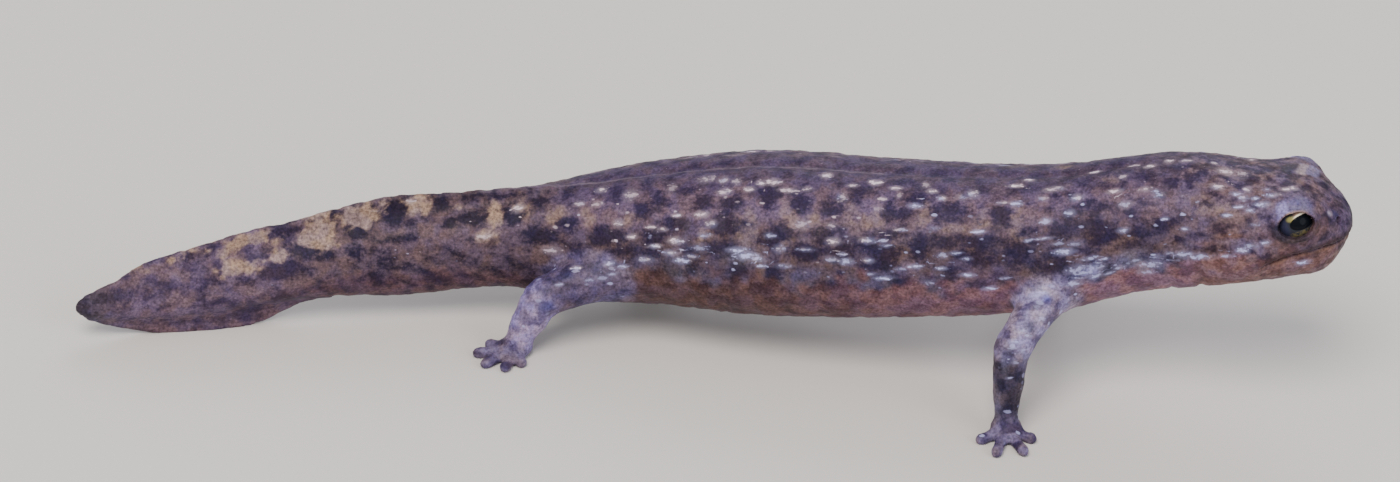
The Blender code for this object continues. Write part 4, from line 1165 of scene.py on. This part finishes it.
def moist_skin():
    """Amphibian skin: thin, smooth and barely moist, so it shows a dull satin sheen, a grain of close-set
    glands, and pigment cells massed into a dark net over a paler ground, with silvery flecks that are
    partly pigment and partly painted glints."""
    material, tree = new_material("moist_amphibian_skin")
    place = add(tree, "TexCoord").outputs["Object"]
    mm = add(tree, "VectorMath", {0: place, 1: (1 / MM, 1 / MM, 1 / MM)}, operation="MULTIPLY")
    long = add(tree, "VectorMath", {0: mm, 1: NET_STRETCH}, operation="MULTIPLY")
    streak = add(tree, "VectorMath", {0: mm, 1: SPECK_STRETCH}, operation="MULTIPLY")
    pale = add(tree, "Attribute", attribute_name="pale").outputs["Vector"]
    deep = add(tree, "Attribute", attribute_name="deep").outputs["Vector"]
    marks = add(tree, "Attribute", attribute_name="marks").outputs["Vector"]
    dark, small, ridge = add(tree, "SeparateXYZ", {0: marks}).outputs

    # The dark net: soft-edged blotches about 1 mm across that break up into grains
    edges = {"Vector": long, "Scale": 1 / NET_SIZE, "Detail": 3.0, "Roughness": 0.6}
    ragged = add(tree, "TexNoise", edges)
    grains = {"Vector": mm, "Scale": 1 / GRAIN_SIZE, "Detail": 3.0, "Roughness": 0.65}
    grain = add(tree, "TexNoise", grains)
    level = add(tree, "Math", {0: dark, 1: 0.6}, operation="MULTIPLY")
    level = add(tree, "Math", {0: ragged, 1: 1.5, 2: level}, operation="MULTIPLY_ADD")
    level = add(tree, "Math", {0: grain, 1: 0.9, 2: level}, operation="MULTIPLY_ADD")
    net = add(tree, "MapRange", {0: level, 1: 0.86, 2: 1.6}, **SMOOTH)
    grains = add(tree, "MapRange", {0: grain, 1: 0.47, 2: 0.7, 3: 0.0, 4: 0.6})
    net = add(tree, "Math", {0: net, 1: grains}, operation="MAXIMUM")
    colour = add(tree, "Mix", {0: net, 6: pale, 7: deep}, **COLOURS)

    # Light and dark grains, and clouds of bluer and browner skin
    grit = {"Vector": mm, "Scale": 1 / SHADE_SIZE, "Detail": 2.0, "Roughness": 0.6}
    fine = add(tree, "TexNoise", grit)
    shade = add(tree, "MapRange", {0: fine, 1: 0.3, 2: 0.7, 3: 0.62, 4: 1.38})
    colour = add(tree, "VectorMath", {0: colour, "Scale": shade}, operation="SCALE")
    hue = add(tree, "TexNoise", {"Vector": mm, "Scale": 1 / CLOUD_SIZE, "Detail": 2.0})
    hue = add(tree, "MapRange", {0: hue, 1: 0.38, 2: 0.62}, **SMOOTH)
    cast = add(tree, "Mix", {0: hue, 6: linear(CLOUDS[0]), 7: linear(CLOUDS[1])}, **COLOURS)
    colour = add(tree, "VectorMath", {0: colour, 1: cast}, operation="MULTIPLY")

    # A painted highlight: a pale line along the ridge in the middle of the back
    back_highlight = add(tree, "MapRange", {0: ridge, 1: 0.05, 2: 0.2, 3: 0.38, 4: 0.0}, **SMOOTH)
    colour = add(tree, "Mix", {0: back_highlight, 6: colour, 7: linear(BACK_HIGHLIGHT)}, **COLOURS)
    colour = add(tree, "VectorMath", {0: colour, "Scale": SKIN_BRIGHTNESS}, operation="SCALE")

    # Small silvery specks strewn over the skin, of any size that chance gives them, partly pigment and
    # partly painted glints
    wobble = add(tree, "TexNoise", {"Vector": mm, "Scale": 1 / HALO_FRAY, "Detail": 2.0})
    fray = {"Vector": long, "Scale": 1 / FLECK_FRAY, "Detail": 2.0, "Roughness": 0.6}
    torn = add(tree, "TexNoise", fray)
    cells = add(tree, "TexVoronoi", {"Vector": streak, "Scale": 1 / SPECK_SPACING})
    chance = add(tree, "SeparateColor", {0: cells.outputs["Color"]})
    size = add(tree, "MapRange", {0: chance, 1: 0.45, 2: 1.0, 3: 0.0, 4: 0.3})
    size = add(tree, "Math", {0: size, 1: small}, operation="MULTIPLY")
    speck = add(tree, "Math", {0: size, 1: cells.outputs["Distance"]}, operation="SUBTRACT")
    speck = add(tree, "Math", {0: torn, 1: 0.3, 2: speck}, operation="MULTIPLY_ADD")
    speck = add(tree, "MapRange", {0: speck, 1: 0.11, 2: 0.27, 3: 0.0, 4: 0.6}, **SMOOTH)
    speck = add(tree, "Math", {0: speck, 1: chance.outputs[1]}, operation="MULTIPLY")

    # The large flecks in their places, partly pigment and partly painted glints: a faint halo and a torn
    # core, each with its shape, what frays it and how much, how far out it starts, where it is full, and
    # its strength
    shares = {"halo": 0.0, "core": 0.0}
    for i in range(FLECK_LAYERS):
        own = add(tree, "Attribute", attribute_name=f"fleck_{i}").outputs["Vector"]
        bright = add(tree, "SeparateXYZ", {0: own}).outputs[2]
        for part, squeeze, rough, depth, outer, inner, most in (
            ("halo", (1, 1, 0), wobble, 1.3, 3.1, 0.8, 0.32),
            ("core", (0.95, 1.45, 0), torn, 5.4, 3.95, 2.95, 1.0),
        ):
            away = add(tree, "VectorMath", {0: own, 1: squeeze}, operation="MULTIPLY")
            away = add(tree, "VectorMath", {0: away}, operation="LENGTH")
            away = add(tree, "Math", {0: rough, 1: depth, 2: away}, operation="MULTIPLY_ADD")
            share = add(tree, "MapRange", {0: away, 1: outer, 2: inner, 3: 0.0, 4: most}, **SMOOTH)
            share = add(tree, "Math", {0: share, 1: bright}, operation="MULTIPLY")
            shares[part] = add(tree, "Math", {0: share, 1: shares[part]}, operation="MAXIMUM")
    low = add(tree, "MapRange", {0: ridge, 1: 4.5, 2: 8.5, 3: -0.2, 4: 0.45})
    cream = add(tree, "TexNoise", {"Vector": mm, "Scale": 1 / SILVER_CLOUD_SIZE, "Detail": 1.0})
    cream = add(tree, "Math", {0: cream, 1: low}, operation="SUBTRACT")
    cream = add(tree, "MapRange", {0: cream, 1: 0.36, 2: 0.66}, **SMOOTH)
    silver_and_glint = add(tree, "Mix", {0: cream, 6: linear(SILVER_AND_GLINT[0]), 7: linear(SILVER_AND_GLINT[1])}, **COLOURS)
    for share in (shares["halo"], speck, shares["core"]):
        colour = add(tree, "Mix", {0: share, 6: colour, 7: silver_and_glint}, **COLOURS)

    # Glands and finer wrinkles, and a sheen that is a little uneven
    glands = add(tree, "TexVoronoi", {"Vector": mm, "Scale": 1 / GLAND_SPACING}, feature="SMOOTH_F1")
    wrinkles = add(tree, "TexNoise", {"Vector": mm, "Scale": 1 / WRINKLE_SIZE, "Detail": 3.0})
    height = add(tree, "Math", {0: glands, 1: -0.6, 2: wrinkles}, operation="MULTIPLY_ADD")
    bump = add(tree, "Bump", {"Height": height, "Strength": 0.6, "Distance": GLAND_HEIGHT * MM})
    damp = add(tree, "TexNoise", {"Vector": mm, "Scale": 1 / DAMP_PATCH_SIZE, "Detail": 3.0})
    damp = add(tree, "MapRange", {0: damp, 1: 0.3, 2: 0.7, 3: 0.42, 4: 0.58})
    finish = {
        "Base Color": colour,
        "Roughness": damp,
        "IOR": 1.38,
        "Specular IOR Level": 0.2,
        "Normal": bump,
        "Subsurface Weight": 0.04,
        "Subsurface Radius": (0.9, 0.35, 0.25),
        "Subsurface Scale": 0.5 * MM,
    }
    add(tree, "OutputMaterial", {"Surface": add(tree, "BsdfPrincipled", finish)})
    return material


def eye_glass():
    """A living eye under its clear cornea: a black oval pupil, a gold line above it that turns to a
    near-white painted highlight, and a dark iris dusted with olive. The cornea is smooth and wet, so it
    gives one small sharp glint."""
    material, tree = new_material("wet_eye")
    own = add(tree, "Attribute", attribute_name="own_place").outputs["Vector"]
    moved = add(tree, "VectorMath", {0: own, 1: PUPIL_PLACE}, operation="SUBTRACT")
    turn = {0: moved, "Angle": math.radians(-PUPIL_TILT_DEG)}
    turned = add(tree, "VectorRotate", turn, rotation_type="Z_AXIS")
    ahead, rise, _ = add(tree, "SeparateXYZ", {0: turned}).outputs

    # The iris: slate, with olive dust low and to the rear, and a bluer rear edge
    dust = add(tree, "TexNoise", {"Vector": own, "Scale": 1 / EYE_DUST_SIZE, "Detail": 3.0})
    olive = add(tree, "MapRange", {0: dust, 1: 0.36, 2: 0.54}, **SMOOTH)
    low = add(tree, "MapRange", {0: rise, 1: -0.34, 2: -0.46}, **SMOOTH)
    olive = add(tree, "Math", {0: olive, 1: low}, operation="MULTIPLY")
    behind = add(tree, "MapRange", {0: ahead, 1: 0.35, 2: 0.0}, **SMOOTH)
    olive = add(tree, "Math", {0: olive, 1: behind}, operation="MULTIPLY")
    colour = add(tree, "Mix", {0: olive, 6: linear("#2d2f38"), 7: linear("#645c42")}, **COLOURS)
    rear = add(tree, "MapRange", {0: ahead, 1: -0.62, 2: -0.9}, **SMOOTH)
    colour = add(tree, "Mix", {0: rear, 6: colour, 7: linear("#353750")}, **COLOURS)

    # Ovals, each over the ones before: a tan haze and an olive patch behind the pupil, the gold ring,
    # which shows as a thin line above it with a painted highlight and fades forward, and the pupil itself
    fade = add(tree, "MapRange", {0: ahead, 1: 0.65, 2: 0.3}, **SMOOTH)
    # the gold line turns into a near-white painted highlight forward of its rear end
    bright = add(tree, "MapRange", {0: ahead, 1: -0.5, 2: -0.15}, **SMOOTH)
    gold_and_highlight = add(tree, "Mix", {0: bright, 6: linear("#b9ae5c"), 7: linear("#fff6dc")}, **COLOURS)
    for middle, half, soft, tone, shown in (
        ((0.12, 0.3, 0), (0.5, 0.34), 0.3, linear("#a08474"), fade),
        ((-0.54, 0.34, 0), (0.2, 0.13), 0.5, linear("#8b8656"), fade),
        ((0.02, 0.085, 0), (0.6, 0.37), 0.09, gold_and_highlight, fade),
        ((0, 0, 0), PUPIL_HALF, 0.035, linear("#090d14"), 1.0),
    ):
        gap = add(tree, "VectorMath", {0: turned, 1: middle}, operation="SUBTRACT")
        gap = add(tree, "VectorMath", {0: gap, 1: (1 / half[0], 1 / half[1], 0)}, operation="MULTIPLY")
        gap = add(tree, "VectorMath", {0: gap}, operation="LENGTH")
        share = add(tree, "MapRange", {0: gap, 1: 1 + soft, 2: 1 - soft}, **SMOOTH)
        share = add(tree, "Math", {0: share, 1: shown}, operation="MULTIPLY")
        colour = add(tree, "Mix", {0: share, 6: colour, 7: tone}, **COLOURS)
    finish = {
        "Base Color": colour,
        "Roughness": 0.6,
        "IOR": 1.38,
        "Specular IOR Level": 0.05,
        "Coat Weight": 0.12,
        "Coat Roughness": 0.03,
    }
    add(tree, "OutputMaterial", {"Surface": add(tree, "BsdfPrincipled", finish)})
    return material


def build_eye(side, word, material):
    """An eyeball whose cornea bulges a little, with each vertex's place in the eye's own axes."""
    bm = bmesh.new()
    bmesh.ops.create_uvsphere(bm, u_segments=EYE_RINGS[0], v_segments=EYE_RINGS[1], radius=1.0)
    _, look, length, height = eye_axes(side)
    centre = eye_centre(side)
    own = [tuple(vert.co) for vert in bm.verts]
    for vert, (x, y, z) in zip(bm.verts, own):
        swell = 1 + CORNEA_SWELL * math.exp(-((x * x + y * y) / 0.5)) * (z > 0)
        place = centre + (length * x + height * y + look * z) * EYE_RADIUS * swell
        vert.co = (place + SHIFT) * MM
    bmesh.ops.recalc_face_normals(bm, faces=bm.faces)
    eye = put(f"eyeball_{word}", smooth_mesh(bm, f"eyeball_{word}"))
    keep_values(eye.data, "own_place", own)
    eye.data.materials.append(material)
    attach(eye, "root")
    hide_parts(f"eye_{word}")


def studio_floor():
    """A matt painted board, pale and even, with the faint tooth of its paint."""
    material, tree = new_material("matt_painted_board")
    place = add(tree, "TexCoord").outputs["Object"]
    tooth = add(tree, "TexNoise", {"Vector": place, "Scale": 1 / PAINT_TOOTH, "Detail": 2.0})
    bump = add(tree, "Bump", {"Height": tooth, "Strength": 0.1, "Distance": 0.1 * MM})
    finish = {
        "Base Color": linear("#dddbd8"),
        "Roughness": 0.85,
        "Specular IOR Level": 0.2,
        "Normal": bump,
    }
    add(tree, "OutputMaterial", {"Surface": add(tree, "BsdfPrincipled", finish)})
    bm = bmesh.new()
    bmesh.ops.create_grid(bm, x_segments=8, y_segments=8, size=FLOOR_HALF)
    floor = put("floor", smooth_mesh(bm, "floor"))
    floor.data.materials.append(material)


def studio():
    """The floor, three large soft lamps that face the animal, and an even pale room."""
    studio_floor()
    for name, place, size, power, colour in LAMPS:
        lamp = bpy.data.lights.new(name, "AREA")
        lamp.shape = "DISK"
        lamp.size = size
        lamp.energy = power
        lamp.color = linear(colour)[:3]
        stand = put(name, lamp)
        stand.location = place
        stand.rotation_euler = (-Vector(place)).to_track_quat("-Z", "Y").to_euler()
    world = bpy.data.worlds.new("studio")
    world.use_nodes = True
    room = world.node_tree.nodes["Background"]
    room.inputs["Color"].default_value = linear(ROOM_COLOUR)
    room.inputs["Strength"].default_value = ROOM_LIGHT
    bpy.context.scene.world = world


def photo_camera():
    """The camera stands where the photograph was taken from."""
    rise, roll = math.radians(SEEN_FROM_DEG), math.radians(CAMERA_ROLL_DEG)
    aim = Vector(CAMERA_AIM) + Vector(SHIFT) * MM
    way = Vector((0, -math.cos(rise), math.sin(rise)))
    data = bpy.data.cameras.new("camera")
    data.lens = CAMERA_LENS
    data.sensor_width = CAMERA_SENSOR
    data.sensor_fit = "HORIZONTAL"
    data.clip_start = 0.01
    camera = put("camera", data)
    tilt = Matrix.Rotation(math.pi / 2 - rise, 4, "X")
    stand = Matrix.Translation(aim + way * CAMERA_DISTANCE)
    camera.matrix_world = stand @ tilt @ Matrix.Rotation(roll, 4, "Z")
    bpy.context.scene.camera = camera


def main():
    skin, points, normals = build_skin()
    dress_skin(skin, points, normals)
    skin.data.materials.append(moist_skin())
    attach(skin, "root")
    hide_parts(*[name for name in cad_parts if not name.startswith("eye_")])
    glass = eye_glass()
    for side, word in ((1, "left"), (-1, "right")):
        build_eye(side, word, glass)
    studio()
    photo_camera()


main()
